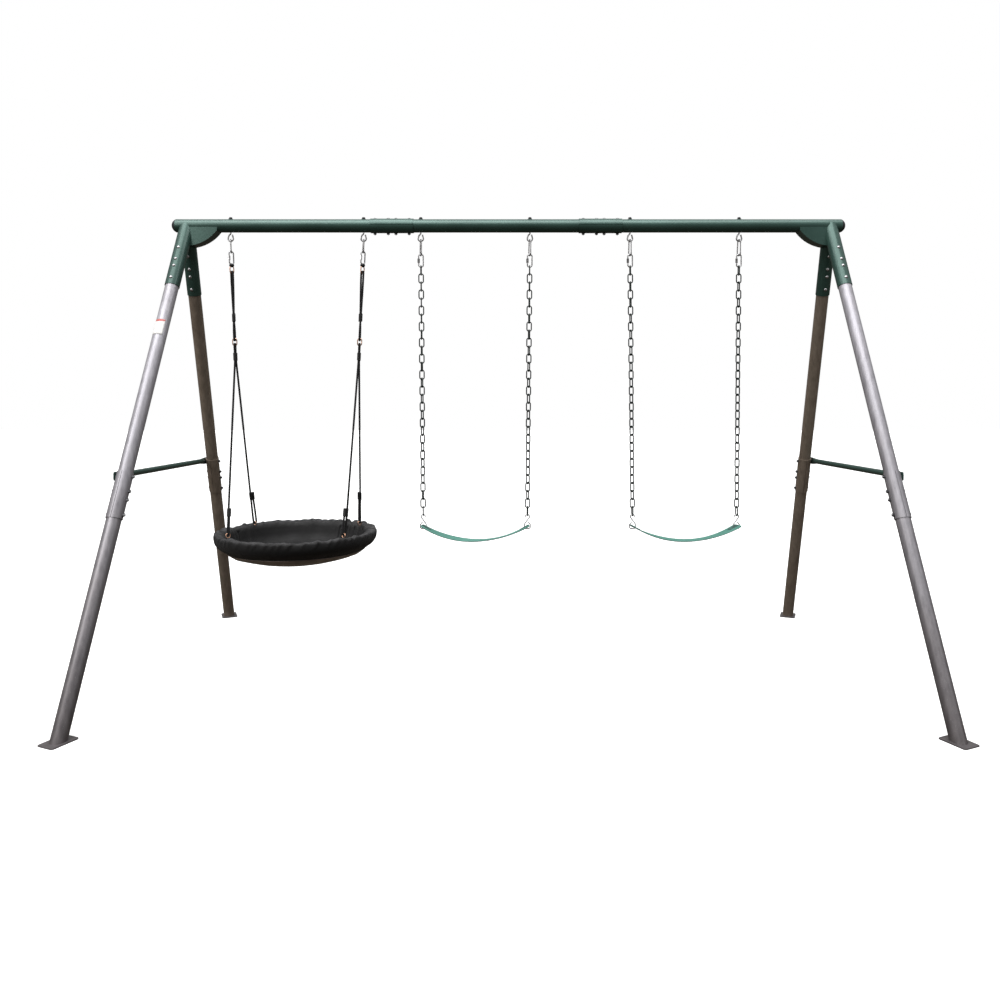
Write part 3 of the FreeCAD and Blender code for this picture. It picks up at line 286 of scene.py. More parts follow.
def leg_paint(name, dark, light, streak, metallic, painted_foot_shade):
    """Metallic leg paint: fine grain along the tube, with painted shade darkening it towards the ground."""
    finish = Finish(name, light, 0.4, metallic=metallic, specular=0.5, coat=0.1)
    along = finish.scaled((60.0, 60.0, 1.6))
    grain = finish.noise(1.0, 5.0, 0.65, vector=along)
    base = finish.ramp(grain, [(0.28, dark), (0.72, light)])
    broad = finish.noise(1.0, 3.0, 0.5, vector=finish.scaled((9.0, 9.0, 1.1)))
    base = finish.blend("MULTIPLY", 0.5, base, finish.ramp(broad, [(0.3, streak), (0.7, (1.0, 1.0, 1.0))]))
    # Painted shade: the colour darkens towards the feet, standing in for the shade near the ground.
    rise = finish.math("DIVIDE", finish.axis("Z"), LEG_SHADE_HEIGHT)
    low = finish.ramp(rise, [(0.0, painted_foot_shade), (1.0, (1.0, 1.0, 1.0))])
    base = finish.blend("MULTIPLY", 1.0, base, low)
    specks = finish.ramp(finish.noise(260.0, 2.0), [(0.62, 0.0), (0.75, 0.35)])
    finish.color(finish.blend("MIX", specks, base, tuple(0.72 * c for c in light)))
    finish.roughness(grain, 0.33, 0.5)
    finish.bump(finish.noise(1.0, 3.0, 0.6, vector=finish.scaled((420.0, 420.0, 12.0))), 0.12, 0.0004)
    return finish.material


def zinc(name, dark, light, roughness):
    """Zinc plating with cloudy patches and fine scratches."""
    finish = Finish(name, light, roughness, metallic=0.9)
    cloud = finish.noise(55.0, 4.0, 0.6)
    finish.color(finish.ramp(cloud, [(0.3, dark), (0.7, light)]))
    finish.roughness(finish.noise(130.0, 3.0), roughness - 0.08, roughness + 0.12)
    finish.bump(finish.noise(1.0, 2.0, vector=finish.scaled((900.0, 900.0, 160.0))), 0.1, 0.0003)
    return finish.material


def chain_enamel():
    """Dark green dip enamel on the chain, thinner and greyer where links rub."""
    finish = Finish("chain_enamel", (0.008, 0.015, 0.013), 0.4, specular=0.3, coat=0.05)
    wear = finish.ramp(finish.noise(75.0, 4.0, 0.6), [(0.52, 0.0), (0.72, 0.5)])
    base = finish.ramp(finish.noise(18.0), [(0.3, (0.004, 0.008, 0.007)), (0.7, (0.010, 0.019, 0.017))])
    finish.color(finish.blend("MIX", wear, base, (0.026, 0.040, 0.036)))
    finish.roughness(finish.noise(60.0), 0.22, 0.4)
    finish.bump(finish.noise(300.0, 3.0), 0.15, 0.0005)
    return finish.material


def dark_plastic(name, color, grain):
    """Moulded plastic with a fine spark-eroded grain."""
    finish = Finish(name, color, 0.5, specular=0.4)
    dark = tuple(0.8 * c for c in color)
    light = tuple(1.35 * c for c in color)
    finish.color(finish.ramp(finish.noise(24.0), [(0.3, dark), (0.7, light)]))
    finish.roughness(finish.noise(40.0), 0.42, 0.6)
    finish.bump(finish.voronoi(grain), 0.22, 0.0005)
    return finish.material


def belt_rubber():
    """Teal moulded belt with pebble grain, lighter scuffs and darker grime."""
    finish = Finish("belt_rubber", (0.075, 0.235, 0.190), 0.55, specular=0.35)
    base = finish.ramp(finish.noise(7.0, 4.0), [(0.3, (0.066, 0.210, 0.168)), (0.7, (0.096, 0.270, 0.220))])
    grime = finish.ramp(finish.noise(34.0, 5.0, 0.7), [(0.3, 0.5), (0.5, 0.0)])
    base = finish.blend("MIX", grime, base, (0.045, 0.14, 0.115))
    streaks = finish.noise(1.0, 4.0, vector=finish.scaled((22.0, 160.0, 60.0)))
    scuff = finish.ramp(streaks, [(0.62, 0.0), (0.8, 0.35)])
    finish.color(finish.blend("MIX", scuff, base, (0.17, 0.36, 0.30)))
    finish.roughness(finish.noise(26.0), 0.45, 0.65)
    finish.bump(finish.voronoi(520.0), 0.35, 0.0006)
    return finish.material


def belt_edge():
    """Darker cut edge of the belt."""
    finish = Finish("belt_edge", (0.03, 0.09, 0.075), 0.6, specular=0.35)
    cloud = finish.noise(60.0, 4.0)
    finish.color(finish.ramp(cloud, [(0.3, (0.022, 0.065, 0.055)), (0.7, (0.045, 0.12, 0.10))]))
    finish.bump(finish.noise(400.0, 3.0), 0.3, 0.0006)
    return finish.material


def woven_cloth(name, dark, light, thread, sheen):
    """Plain-woven outdoor cloth: crossed threads, cloudy fading, a soft sheen and a painted highlight in
    patches along the top of the lip.
    """
    finish = Finish(name, light, 0.65, specular=0.28)
    across = finish.wave(thread, "X", 0.6)
    along = finish.wave(thread, "Y", 0.6)
    weave = finish.math("MULTIPLY", across, along)
    base = finish.ramp(finish.noise(6.0, 5.0, 0.6), [(0.3, dark), (0.72, light)])
    threads = finish.ramp(weave, [(0.0, (0.72, 0.72, 0.72)), (0.6, (1.0, 1.0, 1.0))])
    base = finish.blend("MULTIPLY", 0.8, base, threads)
    dust = finish.ramp(finish.noise(90.0, 5.0, 0.75), [(0.58, 0.0), (0.85, 0.3)])
    base = finish.blend("MIX", dust, base, tuple(1.9 * c for c in light))
    # Painted highlight in patches along the top of the lip, lighter by height.
    lip_top_highlight_mask = finish.ramp(finish.axis("Z"), [(0.634, 0.0), (0.648, 1.0)])
    patches = finish.ramp(finish.noise(30.0, 5.0, 0.7), [(0.40, 0.0), (0.62, 1.0)])
    painted_lip_highlight = finish.math("MULTIPLY", lip_top_highlight_mask, patches)
    finish.color(finish.blend("MIX", painted_lip_highlight, base, tuple(4.5 * c for c in light)))
    finish.roughness(finish.noise(18.0), 0.50, 0.70)
    finish.bump(weave, 0.35, 0.0006)
    finish.bump(finish.noise(48.0, 4.0), 0.25, 0.002)
    finish.sheen(sheen, 0.5, (0.8, 0.82, 0.85))
    return finish.material


def coated_panel():
    """Coated wear panel under the saucer: brownish, smoother and glossier than the cloth."""
    finish = Finish("coated_panel", (0.30, 0.24, 0.21), 0.34, specular=0.5, coat=0.3)
    cloud = finish.noise(9.0, 4.0)
    base = finish.ramp(cloud, [(0.3, (0.235, 0.188, 0.164)), (0.7, (0.380, 0.306, 0.266))])
    grime = finish.ramp(finish.noise(38.0, 5.0, 0.7), [(0.32, 0.55), (0.52, 0.0)])
    finish.color(finish.blend("MIX", grime, base, (0.120, 0.098, 0.086)))
    finish.roughness(finish.noise(22.0), 0.28, 0.5)
    finish.bump(finish.wave(260.0, "X", 0.8), 0.12, 0.0005)
    finish.bump(finish.noise(30.0, 4.0), 0.25, 0.002)
    return finish.material


def rope_yarn():
    """Black rope yarn: fine filaments with dusty, worn crowns."""
    finish = Finish("rope_yarn", (0.008, 0.008, 0.008), 0.8, specular=0.2)
    cloud = finish.noise(160.0, 4.0)
    base = finish.ramp(cloud, [(0.3, (0.003, 0.003, 0.003)), (0.7, (0.010, 0.010, 0.011))])
    fluff = finish.ramp(finish.noise(700.0, 3.0), [(0.55, 0.0), (0.8, 0.35)])
    finish.color(finish.blend("MIX", fluff, base, (0.030, 0.030, 0.031)))
    finish.bump(finish.noise(1.0, 3.0, vector=finish.scaled((2200.0, 2200.0, 500.0))), 0.5, 0.0006)
    finish.sheen(0.05, 0.5, (0.8, 0.8, 0.82))
    return finish.material


def copper_plate():
    """Copper-coloured plated steel with browner tarnish in patches."""
    finish = Finish("copper_plate", (0.78, 0.45, 0.30), 0.28, metallic=1.0)
    tarnish = finish.noise(90.0, 4.0)
    finish.color(finish.ramp(tarnish, [(0.32, (0.42, 0.22, 0.14)), (0.62, (0.86, 0.52, 0.36))]))
    finish.roughness(finish.noise(160.0), 0.2, 0.42)
    finish.bump(finish.noise(500.0, 2.0), 0.1, 0.0003)
    return finish.material


def sticker_paper():
    """Blank printed sticker: off-white with one red band along its top."""
    finish = Finish("sticker_paper", (0.85, 0.84, 0.83), 0.4, specular=0.5, coat=0.2)
    rise = finish.math("SUBTRACT", finish.axis("Z"), STICKER_BAND_LEVEL)
    band = finish.math("GREATER_THAN", rise, 0.0)
    paper = finish.ramp(finish.noise(60.0, 4.0), [(0.3, (0.80, 0.79, 0.78)), (0.7, (0.88, 0.87, 0.86))])
    red = finish.ramp(finish.noise(80.0, 3.0), [(0.3, (0.42, 0.10, 0.09)), (0.7, (0.50, 0.15, 0.13))])
    finish.color(finish.blend("MIX", band, paper, red))
    finish.bump(finish.noise(220.0, 3.0), 0.1, 0.0004)
    return finish.material


def floor_paper():
    """Pale seamless studio paper, glowing a little so that no shadow shows on it."""
    finish = Finish("floor_paper", (0.93, 0.93, 0.93), 0.85, specular=0.1)
    cloud = finish.noise(1.3, 3.0)
    finish.color(finish.ramp(cloud, [(0.3, (0.92, 0.92, 0.92)), (0.7, (0.945, 0.945, 0.945))]))
    finish.bump(finish.noise(90.0, 3.0), 0.02, 0.001)
    finish.shader.inputs["Emission Color"].default_value = (1.0, 1.0, 1.0, 1.0)
    finish.shader.inputs["Emission Strength"].default_value = 0.3
    return finish.material


# ---------------------------------------------------------------- mesh tools

def mesh_piece(name, points, faces, material):
    """A smooth-shaded object of these points and faces."""
    data = bpy.data.meshes.new(name)
    data.from_pydata([tuple(p) for p in points], [], faces)
    data.validate()
    data.materials.append(material)
    data.shade_smooth()
    piece = bpy.data.objects.new(name, data)
    scene.collection.objects.link(piece)
    return piece


def applied(piece):
    """Replaces a piece's mesh with the result of its modifiers."""
    graph = bpy.context.evaluated_depsgraph_get()
    data = bpy.data.meshes.new_from_object(piece.evaluated_get(graph))
    piece.modifiers.clear()
    piece.data = data


def smoothstep(low, high, value):
    """Smooth rise from 0 at low to 1 at high."""
    share = np.clip((value - low) / (high - low), 0.0, 1.0)
    return share * share * (3.0 - 2.0 * share)


# ---------------------------------------------------------------- suspension ropes

# The hang line of each side leans from its eye bolt straight to the rim rings below.
# SAUCER is the point between the two eye bolts; ROPE_END is a rim ring, measured from it in X and Y.
SAUCER = Vector((-1.0225, 0.0, 2.046))
SAUCER_HALF = 0.3215
ROPE_END = Vector((0.266, 0.189, 0.663))
ROPE_RADIUS = 0.005
# The lay of the rope: its strands, the length of one turn and how far the grooves between strands sink.
STRANDS = 3
ROPE_PITCH = 0.030
STRAND_SINK = 0.20
# Faces round the rope and the length of each.
ROPE_SIDES = 18
ROPE_STEP = 0.0016
UPPER_LENGTH = 0.675
LOWER_LENGTH = 2.101
# Levels down the hang line: centres of rings and adjusters.
RING_YAW = math.radians(50)
UPPER_RING = -0.1389
LOWER_RING = -0.4885
RING_HALF_HEIGHT = 0.017
UPPER_ADJUSTER = -0.370
LOWER_ADJUSTER = -0.559
ADJUSTER_INSET = 0.004
# Distance from a rim ring up to the adjuster that holds the rope's end, at the front and at the rear.
FRONT_HOLD = 0.103
REAR_HOLD = 0.143
# Half distance between two legs of rope round a ring (WRAP) and side by side (TOUCH), and the U-turn's shape.
WRAP = 0.0084
TOUCH = 0.0051
TURN_RISE = 0.0090
TURN_LEG = 0.013
RIM_TUCK = 0.0068
# The rope runs straight again this far from a turn.
CLEAR = 12 * ROPE_RADIUS


def hang_line(side):
    """Turns points measured down the hang line into the row's frame."""
    corner = SAUCER + Vector((side * SAUCER_HALF, 0, 0))
    lean = math.atan2(side * (ROPE_END.x - SAUCER_HALF), corner.z - ROPE_END.z)
    return Matrix.Translation(corner) @ Matrix.Rotation(-lean, 4, "Y")


def turn_over(center, across, away, leg):
    """Control points of a tight U-turn: leg, two corners, leg; away points from the legs to the turn."""
    first = center + across * WRAP
    second = center - across * WRAP
    return [first - away * leg, first, second, second - away * leg]


def upper_route(side):
    """Doubled rope between the two rings, both ends held in its adjuster."""
    place = hang_line(side)
    up = Vector((0, 0, 1))
    spread = Vector((-math.sin(RING_YAW), math.cos(RING_YAW), 0))
    fore = Vector((0, 1, 0))
    between = (spread + fore).normalized()
    top = Vector((0, 0, UPPER_RING - RING_HALF_HEIGHT + TURN_RISE))
    low = Vector((0, 0, LOWER_RING + RING_HALF_HEIGHT - TURN_RISE))
    middle = Vector((0, 0, UPPER_ADJUSTER))
    points = [
        middle + between * TOUCH + up * ADJUSTER_INSET,
        top + spread * WRAP - up * CLEAR,
        *turn_over(top, spread, up, TURN_LEG),
        top - spread * WRAP - up * CLEAR,
        middle - between * TOUCH,
        low - fore * WRAP + up * CLEAR,
        *turn_over(low, -fore, -up, TURN_LEG),
        low + fore * WRAP + up * CLEAR,
        middle + between * TOUCH - up * ADJUSTER_INSET,
    ]
    return [place @ point for point in points]


def rim_end(side, end, apex):
    """Ring pull at one rim ring: its top, its upward direction and the direction across it."""
    rim = Vector((SAUCER.x + side * ROPE_END.x, end * ROPE_END.y, ROPE_END.z))
    outward = Vector((side * ROPE_END.x, end * ROPE_END.y, 0)).normalized()
    across = Vector((0, 0, 1)).cross(outward)
    if across.y * end > 0:
        across = -across
    up = (apex - rim).normalized()
    across = (across - up * across.dot(up)).normalized()
    return rim, up, across


def lower_route(side):
    """V of rope from one rim ring over the lower ring to the other, its ends held by adjusters."""
    place = hang_line(side)
    up = Vector((0, 0, 1))
    fore = Vector((0, 1, 0))
    tip = Vector((0, 0, LOWER_ADJUSTER - 2 * ADJUSTER_INSET))
    turn = Vector((0, 0, LOWER_RING - RING_HALF_HEIGHT + TURN_RISE))
    halves = []
    for end, rise in ((-1, FRONT_HOLD), (1, REAR_HOLD)):
        apex = place @ (tip + fore * (end * TOUCH))
        rim, pull, across = rim_end(side, end, apex)
        tuck = rim - pull * RIM_TUCK
        wraps = turn_over(tuck, across, -pull, TURN_LEG)
        start = tuck + pull * rise - across * TOUCH
        halves.append([
            start,
            tuck - across * WRAP + pull * CLEAR,
            *wraps[::-1],
            tuck + across * WRAP + pull * CLEAR,
            apex - (apex - rim).normalized() * CLEAR,
            apex,
            place @ (turn + fore * (end * WRAP) - up * TURN_LEG),
            place @ (turn + fore * (end * WRAP)),
        ])
    front, rear = halves
    return front + rear[::-1]


def smooth_line(name, route):
    """Even points along the NURBS line whose control points are the route, and their distances along it."""
    curve = bpy.data.curves.new(name + "_line", "CURVE")
    curve.dimensions = "3D"
    spline = curve.splines.new("NURBS")
    spline.points.add(len(route) - 1)
    for point, place in zip(spline.points, route):
        point.co = (*place, 1.0)
    spline.order_u = 3
    spline.use_endpoint_u = True
    curve.resolution_u = 32
    holder = bpy.data.objects.new(name + "_line", curve)
    scene.collection.objects.link(holder)
    bpy.context.view_layer.update()
    line = bpy.data.meshes.new_from_object(holder)
    points = np.array([tuple(v.co) for v in line.vertices])
    bpy.data.objects.remove(holder)
    steps = np.linalg.norm(np.diff(points, axis=0), axis=1)
    keep = np.concatenate([[True], steps > 1e-7])
    points = points[keep]
    reach = np.concatenate([[0.0], np.cumsum(np.linalg.norm(np.diff(points, axis=0), axis=1))])
    count = int(reach[-1] / ROPE_STEP)
    even = np.linspace(0.0, reach[-1], count)
    return np.stack([np.interp(even, reach, points[:, k]) for k in range(3)], axis=1), even


def laid_rope(name, route, material):
    """Three-strand rope swept along the smooth line of its route, and the points of that line."""
    line, reach = smooth_line(name, route)
    tangents = np.gradient(line, axis=0)
    tangents /= np.linalg.norm(tangents, axis=1)[:, None]
    angles = np.arange(ROPE_SIDES) / ROPE_SIDES * 2 * math.pi
    normal = np.cross(tangents[0], (0.0, 1.0, 0.2))
    rings = []
    for point, tangent, distance in zip(line, tangents, reach):
        normal = normal - tangent * normal.dot(tangent)
        normal /= np.linalg.norm(normal)
        other = np.cross(tangent, normal)
        phase = STRANDS / 2 * (angles - distance / ROPE_PITCH * 2 * math.pi)
        radius = ROPE_RADIUS * (1 - STRAND_SINK + STRAND_SINK * np.abs(np.cos(phase)))
        rings.append(point + np.cos(angles)[:, None] * radius[:, None] * normal
                     + np.sin(angles)[:, None] * radius[:, None] * other)
    points = np.concatenate(rings)
    faces = []
    for row in range(len(line) - 1):
        for k in range(ROPE_SIDES):
            a = row * ROPE_SIDES + k
            b = row * ROPE_SIDES + (k + 1) % ROPE_SIDES
            faces.append((a, b, b + ROPE_SIDES, a + ROPE_SIDES))
    last = (len(line) - 1) * ROPE_SIDES
    faces.append(tuple(range(ROPE_SIDES))[::-1])
    faces.append(tuple(last + k for k in range(ROPE_SIDES)))
    return mesh_piece(name, points, faces, material), line


def make_ropes(material):
    """The four ropes of the saucer, as laid rope."""
    levels = (("upper", upper_route, UPPER_LENGTH), ("lower", lower_route, LOWER_LENGTH))
    for side_name, side in (("left", -1), ("right", 1)):
        for level, route_of, length in levels:
            name = f"rope_{level}_{side_name}"
            route = route_of(side)
            piece, line = laid_rope(name + "_laid", route, material)
            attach(piece, "saucer_swing")
            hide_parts(name)


# ---------------------------------------------------------------- saucer

BOWL_SPHERE = 0.873
BOWL_BOTTOM = 0.491
BOWL_THICK = 0.003
# The skins start this far from the saucer's centre line, closed by a small flat face.
CENTRE_RADIUS = 0.004
# Points round the rim of the cover and of the panel.
AROUND = 720
PANEL_AROUND = 300
# Outer radius of the wear panel, level and along the curve, and the lift of its skins off the cover.
PANEL_REACH = 0.329
PANEL_LIFT = 0.0022
PANEL_INNER_LIFT = 0.0002
# Waves of slack near the panel's edge, and the share of its radius at which the seam holds it down.
PANEL_SLACK = 0.0012
PANEL_SEAM = 0.965
# Heights of the cover's pleats, deep folds, wandering lip and creases.
PLEAT_HEIGHT = 0.0046
PLEAT_SINK = 0.0024
FOLD_HEIGHT = 0.0110
LIP_WANDER = 0.0045
LIP_RIPPLE = 0.0040
LIP_SINK = 0.001
CREASE_HEIGHT = 0.0011
# How fast the lip's wandering changes round the rim, and the creases along and across the section.
WANDER_PACE = 2.6
RIPPLE_PACE = 6.5
CREASE_PACE = 38
CREASE_PACE_ALONG = 20
WANDER_START = Vector((0, 0, 3.7))
RIPPLE_START = Vector((0, 0, 8.1))
# Steps round the rim per metre along the section, by which the small pleats run aslant.
PLEAT_SLANT = 150
# Deep folds: place round the rim in degrees from +X, width in degrees, and relative height.
DEEP_FOLDS = [
    (4, 2.0, 0.7), (14, 1.8, -0.6), (23, 2.2, 0.9), (31, 1.5, -0.7), (40, 1.6, 0.8), (46, 1.3, -0.9),
    (51, 1.5, 1.0), (56, 1.1, -1.1), (60, 1.3, 1.2), (64, 1.0, -0.8), (-10, 2.2, 0.5), (-22, 2.6, -0.4),
    (150, 2.2, 0.4), (163, 2.2, -0.6), (174, 2.4, 0.8), (186, 2.2, 0.6), (198, 2.4, -0.6),
    (209, 2.0, 0.7), (-62, 2.6, 0.3), (-128, 2.4, 0.4), (-44, 2.2, 0.3),
]


def catmull(points, count):
    """Smooth points through a list of (r, z) points."""
    points = np.array(points, float)
    padded = np.vstack([2 * points[0] - points[1], points, 2 * points[-1] - points[-2]])
    result = []
    for k in range(len(points) - 1):
        a, b, c, d = padded[k:k + 4]
        for t in np.linspace(0, 1, count, endpoint=False):
            result.append(0.5 * ((2 * b) + (c - a) * t + (2 * a - 5 * b + 4 * c - d) * t * t
                                 + (3 * b - a - 3 * c + d) * t ** 3))
    result.append(points[-1])
    return np.array(result)


def bowl_level(radius, sphere):
    """Height of the dished sheet at a distance from its centre, for a sphere of its own centre."""
    return BOWL_BOTTOM + BOWL_SPHERE - math.sqrt(sphere**2 - radius**2)


def saucer_profile():
    """Section of the cloth from the inside centre, over the rim, to the outside centre."""
    seat_radii = np.linspace(CENTRE_RADIUS, 0.285, 42)
    inside = [(r, bowl_level(r, BOWL_SPHERE - BOWL_THICK)) for r in seat_radii]
    rim = catmull([
        inside[-1], (0.3030, 0.5560), (0.3165, 0.5790), (0.3240, 0.6060), (0.3300, 0.6270),
        (0.3400, 0.6405), (0.3530, 0.6475), (0.3660, 0.6500), (0.3745, 0.6492), (0.3790, 0.6435),
        (0.3805, 0.6345), (0.3795, 0.6200), (0.3745, 0.6045), (0.3620, 0.5875), (0.3350, 0.5680),
        (0.3000, bowl_level(0.3, BOWL_SPHERE)),
    ], 7)
    under_radii = np.linspace(0.294, CENTRE_RADIUS, 38)
    outside = [(r, bowl_level(r, BOWL_SPHERE)) for r in under_radii]
    return np.array(inside + [tuple(p) for p in rim[1:]] + outside)


def gap_round(angles, place):
    """Signed angle from a place on the rim, the short way round."""
    return (angles - place + math.pi) % (2 * math.pi) - math.pi


def pleat_field(angles):
    """Relative heights round the rim of the many small pleats and of the few deep folds."""
    pick = random.Random(41)
    small = np.zeros_like(angles)
    place = 0.0
    while place < 2 * math.pi:
        width = pick.uniform(0.020, 0.036)
        height = pick.uniform(0.35, 1.0)
        small += height * np.exp(-((gap_round(angles, place) / width) ** 2))
        place += pick.uniform(0.07, 0.17)
    deep = np.zeros_like(angles)
    for degrees, width, height in DEEP_FOLDS:
        gap = gap_round(angles, math.radians(degrees))
        deep += height * np.exp(-((gap / math.radians(width)) ** 2))
    return small, deep


def lip_row(profile):
    """Number of the section's point on the outer edge of the lip."""
    return int(np.argmax(profile[:, 0] + profile[:, 1]))


def outward(profile):
    """Unit normals of the section, pointing out of the cloth."""
    tangent = np.gradient(profile, axis=0)
    tangent /= np.linalg.norm(tangent, axis=1)[:, None]
    return np.stack([-tangent[:, 1], tangent[:, 0]], axis=1)


def cover_points(profile):
    """Points of the cloth: the section turned round the saucer, with pleats, folds and creases."""
    steps = np.concatenate([[0.0], np.cumsum(np.linalg.norm(np.diff(profile, axis=0), axis=1))])
    away = steps - steps[lip_row(profile)]
    normal = outward(profile)
    # Shares of pleats, folds and wandering along the section: full on the lip, fading away from it.
    small_share = smoothstep(-0.060, -0.018, away) * (1 - smoothstep(0.004, 0.045, away))
    deep_share = smoothstep(-0.24, -0.09, away) * (1 - smoothstep(-0.018, 0.016, away))
    lip_share = smoothstep(-0.07, -0.01, away) * (1 - smoothstep(0.004, 0.060, away))
    slant = np.round(away * PLEAT_SLANT).astype(int)
    angles = np.arange(AROUND) / AROUND * 2 * math.pi
    small, deep = pleat_field(angles)
    points = []
    for k, angle in enumerate(angles):
        around = Vector((math.cos(angle), math.sin(angle), 0.0))
        wander = LIP_WANDER * noise.noise(around * WANDER_PACE + WANDER_START)
        wander += LIP_RIPPLE * noise.noise(around * RIPPLE_PACE + RIPPLE_START)
        gathered = small[(k + slant) % AROUND]
        lift = (PLEAT_HEIGHT * gathered - PLEAT_SINK) * small_share
        lift += FOLD_HEIGHT * deep[k] * deep_share
        radial = profile[:, 0] + normal[:, 0] * lift
        level = profile[:, 1] + normal[:, 1] * lift + (wander - LIP_SINK) * lip_share
        for r, z, s in zip(radial, level, steps):
            spot = Vector((
                math.cos(angle) * r * CREASE_PACE,
                math.sin(angle) * r * CREASE_PACE,
                s * CREASE_PACE_ALONG,
            ))
            crease = CREASE_HEIGHT * noise.noise(spot)
            points.append((SAUCER.x + math.cos(angle) * r, math.sin(angle) * r, z + crease))
    return points


def cover_faces(rows):
    """Faces between neighbouring sections of the cloth, closed at both centres."""
    faces = []
    for k in range(AROUND):
        here = k * rows
        following = (k + 1) % AROUND * rows
        for row in range(rows - 1):
            faces.append((here + row, following + row, following + row + 1, here + row + 1))
    faces.append(tuple(k * rows for k in range(AROUND))[::-1])
    faces.append(tuple(k * rows + rows - 1 for k in range(AROUND)))
    return faces


def make_saucer_cover(material):
    """Cloth cover in one skin: dished seat, padded rim with gathered pleats, and smooth underside."""
    profile = saucer_profile()
    cover = mesh_piece("saucer_cover", cover_points(profile), cover_faces(len(profile)), material)
    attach(cover, "saucer_swing")
    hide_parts("saucer_rim_pad", "saucer_bowl")


def panel_points(line, away):
    """Outer and inner skin of the wear panel, from its centre to its slack, sewn-down edge."""
    rings = len(line) - 1
    points = []
    for side in (0, 1):
        for ring in range(rings + 1):
            share = ring / rings
            for k in range(PANEL_AROUND):
                angle = k / PANEL_AROUND * 2 * math.pi
                slack = PANEL_SLACK * share**4 * (1 + math.sin(17 * angle + 4 * math.sin(2 * angle)))
                outer = PANEL_LIFT + slack * (1 - smoothstep(PANEL_SEAM, 1.0, share))
                offset = outer if side == 0 else PANEL_INNER_LIFT
                r = line[ring, 0] + away[ring, 0] * offset
                z = line[ring, 1] + away[ring, 1] * offset
                points.append((SAUCER.x + r * math.cos(angle), r * math.sin(angle), z))
    return points


def panel_faces(rings):
    """Faces of both skins of the wear panel, its edge and its small centre faces."""
    faces = []
    around = PANEL_AROUND
    layer = (rings + 1) * around
    for side in (0, 1):
        for ring in range(rings):
            for k in range(around):
                a = side * layer + ring * around + k
                b = side * layer + ring * around + (k + 1) % around
                face = (a, b, b + around, a + around)
                faces.append(face[::-1] if side == 0 else face)
    for k in range(around):
        a = rings * around + k
        b = rings * around + (k + 1) % around
        faces.append((a, b, b + layer, a + layer))
    faces.append(tuple(range(around)))
    faces.append(tuple(layer + k for k in range(around))[::-1])
    return faces


def make_wear_panel(material):
    """Round coated panel sewn under the saucer, a little slack at its edge."""
    profile = saucer_profile()
    under = np.arange(len(profile)) > lip_row(profile)
    under &= profile[:, 0] <= PANEL_REACH
    line = profile[under][::-1]
    away = outward(profile)[under][::-1]
    panel = mesh_piece("saucer_wear_panel", panel_points(line, away), panel_faces(len(line) - 1), material)
    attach(panel, "saucer_swing")


# ---------------------------------------------------------------- belts

SEAT_RADIUS = 0.4989
SEAT_HALF_WIDTH = 0.070
SEAT_THICK = 0.005
SEAT_TILT = math.radians(5)
SEAT_TWIST = math.radians(2.3)
SEAT_HOLE = 0.2377
HOLE_RADIUS = 0.0068
HOLE_SIDES = 40
DRILL_LENGTH = 0.3
SEAT_CORNER = 0.018
SEAT_END_GAP = 0.001
# Width and length of the belt laid flat, and its points lengthwise and across.
SEAT_LENGTHWISE = 150
SEAT_WIDTHWISE = 28
# The belt's long edges are rounded over this share of the half width, down by a share of the thickness.
SEAT_EDGE_START = 0.93
SEAT_EDGE_DROP = 0.42


def make_belt(letter, face_material, edge_material):
    """Moulded belt seat: one curved strip with rounded corners and a slight twist."""
    low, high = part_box(f"belt_{letter}_seat")
    center_x = (low.x + high.x) / 2
    center_y = (low.y + high.y) / 2
    half = (high.x - low.x) / 2 - SEAT_END_GAP
    level = low.z + math.cos(SEAT_TILT) * SEAT_THICK / 2 + math.sin(SEAT_TILT) * SEAT_HALF_WIDTH
    lengthwise = SEAT_LENGTHWISE
    widthwise = SEAT_WIDTHWISE
    grid = {}
    points = []
    for layer, offset in ((0, 0.5), (1, -0.5)):
        for i in range(lengthwise + 1):
            x = half * (2 * i / lengthwise - 1)
            angle = math.asin(x / SEAT_RADIUS)
            short = max(0.0, abs(x) - (half - SEAT_CORNER)) / SEAT_CORNER
            width = SEAT_HALF_WIDTH - SEAT_CORNER * (1 - math.sqrt(max(0.0, 1 - short**2)))
            turn = SEAT_TILT + SEAT_TWIST * math.sin(math.pi * x / half)
            for j in range(widthwise + 1):
                share = 2 * j / widthwise - 1
                y = share * width
                edge = 1 - SEAT_EDGE_DROP * smoothstep(SEAT_EDGE_START, 1.0, abs(share))
                thick = SEAT_THICK * edge * offset
                reach = SEAT_RADIUS - thick
                rise = SEAT_RADIUS - reach * math.cos(angle)
                grid[layer, i, j] = len(points)
                points.append((
                    center_x + reach * math.sin(angle),
                    center_y + y * math.cos(turn),
                    level + rise - y * math.sin(turn),
                ))
    faces = []
    for i in range(lengthwise):
        for j in range(widthwise):
            top = (grid[0, i, j], grid[0, i + 1, j], grid[0, i + 1, j + 1], grid[0, i, j + 1])
            under = (grid[1, i, j], grid[1, i, j + 1], grid[1, i + 1, j + 1], grid[1, i + 1, j])
            faces += [top, under]
    sides = len(faces)
    for i in range(lengthwise):
        for j, flip in ((0, False), (widthwise, True)):
            face = (grid[0, i, j], grid[1, i, j], grid[1, i + 1, j], grid[0, i + 1, j])
            faces.append(face[::-1] if flip else face)
    for j in range(widthwise):
        for i, flip in ((0, True), (lengthwise, False)):
            face = (grid[0, i, j], grid[1, i, j], grid[1, i, j + 1], grid[0, i, j + 1])
            faces.append(face[::-1] if flip else face)
    belt = mesh_piece(f"belt_{letter}_strap", points, faces, face_material)
    belt.data.materials.append(edge_material)
    for face in belt.data.polygons[sides:]:
        face.material_index = 1
    for side in (-1, 1):
        pierce(belt, Vector((center_x + side * SEAT_HOLE, center_y, level)), HOLE_RADIUS)
    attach(belt, f"belt_{letter}_seat")
    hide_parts(f"belt_{letter}_seat")


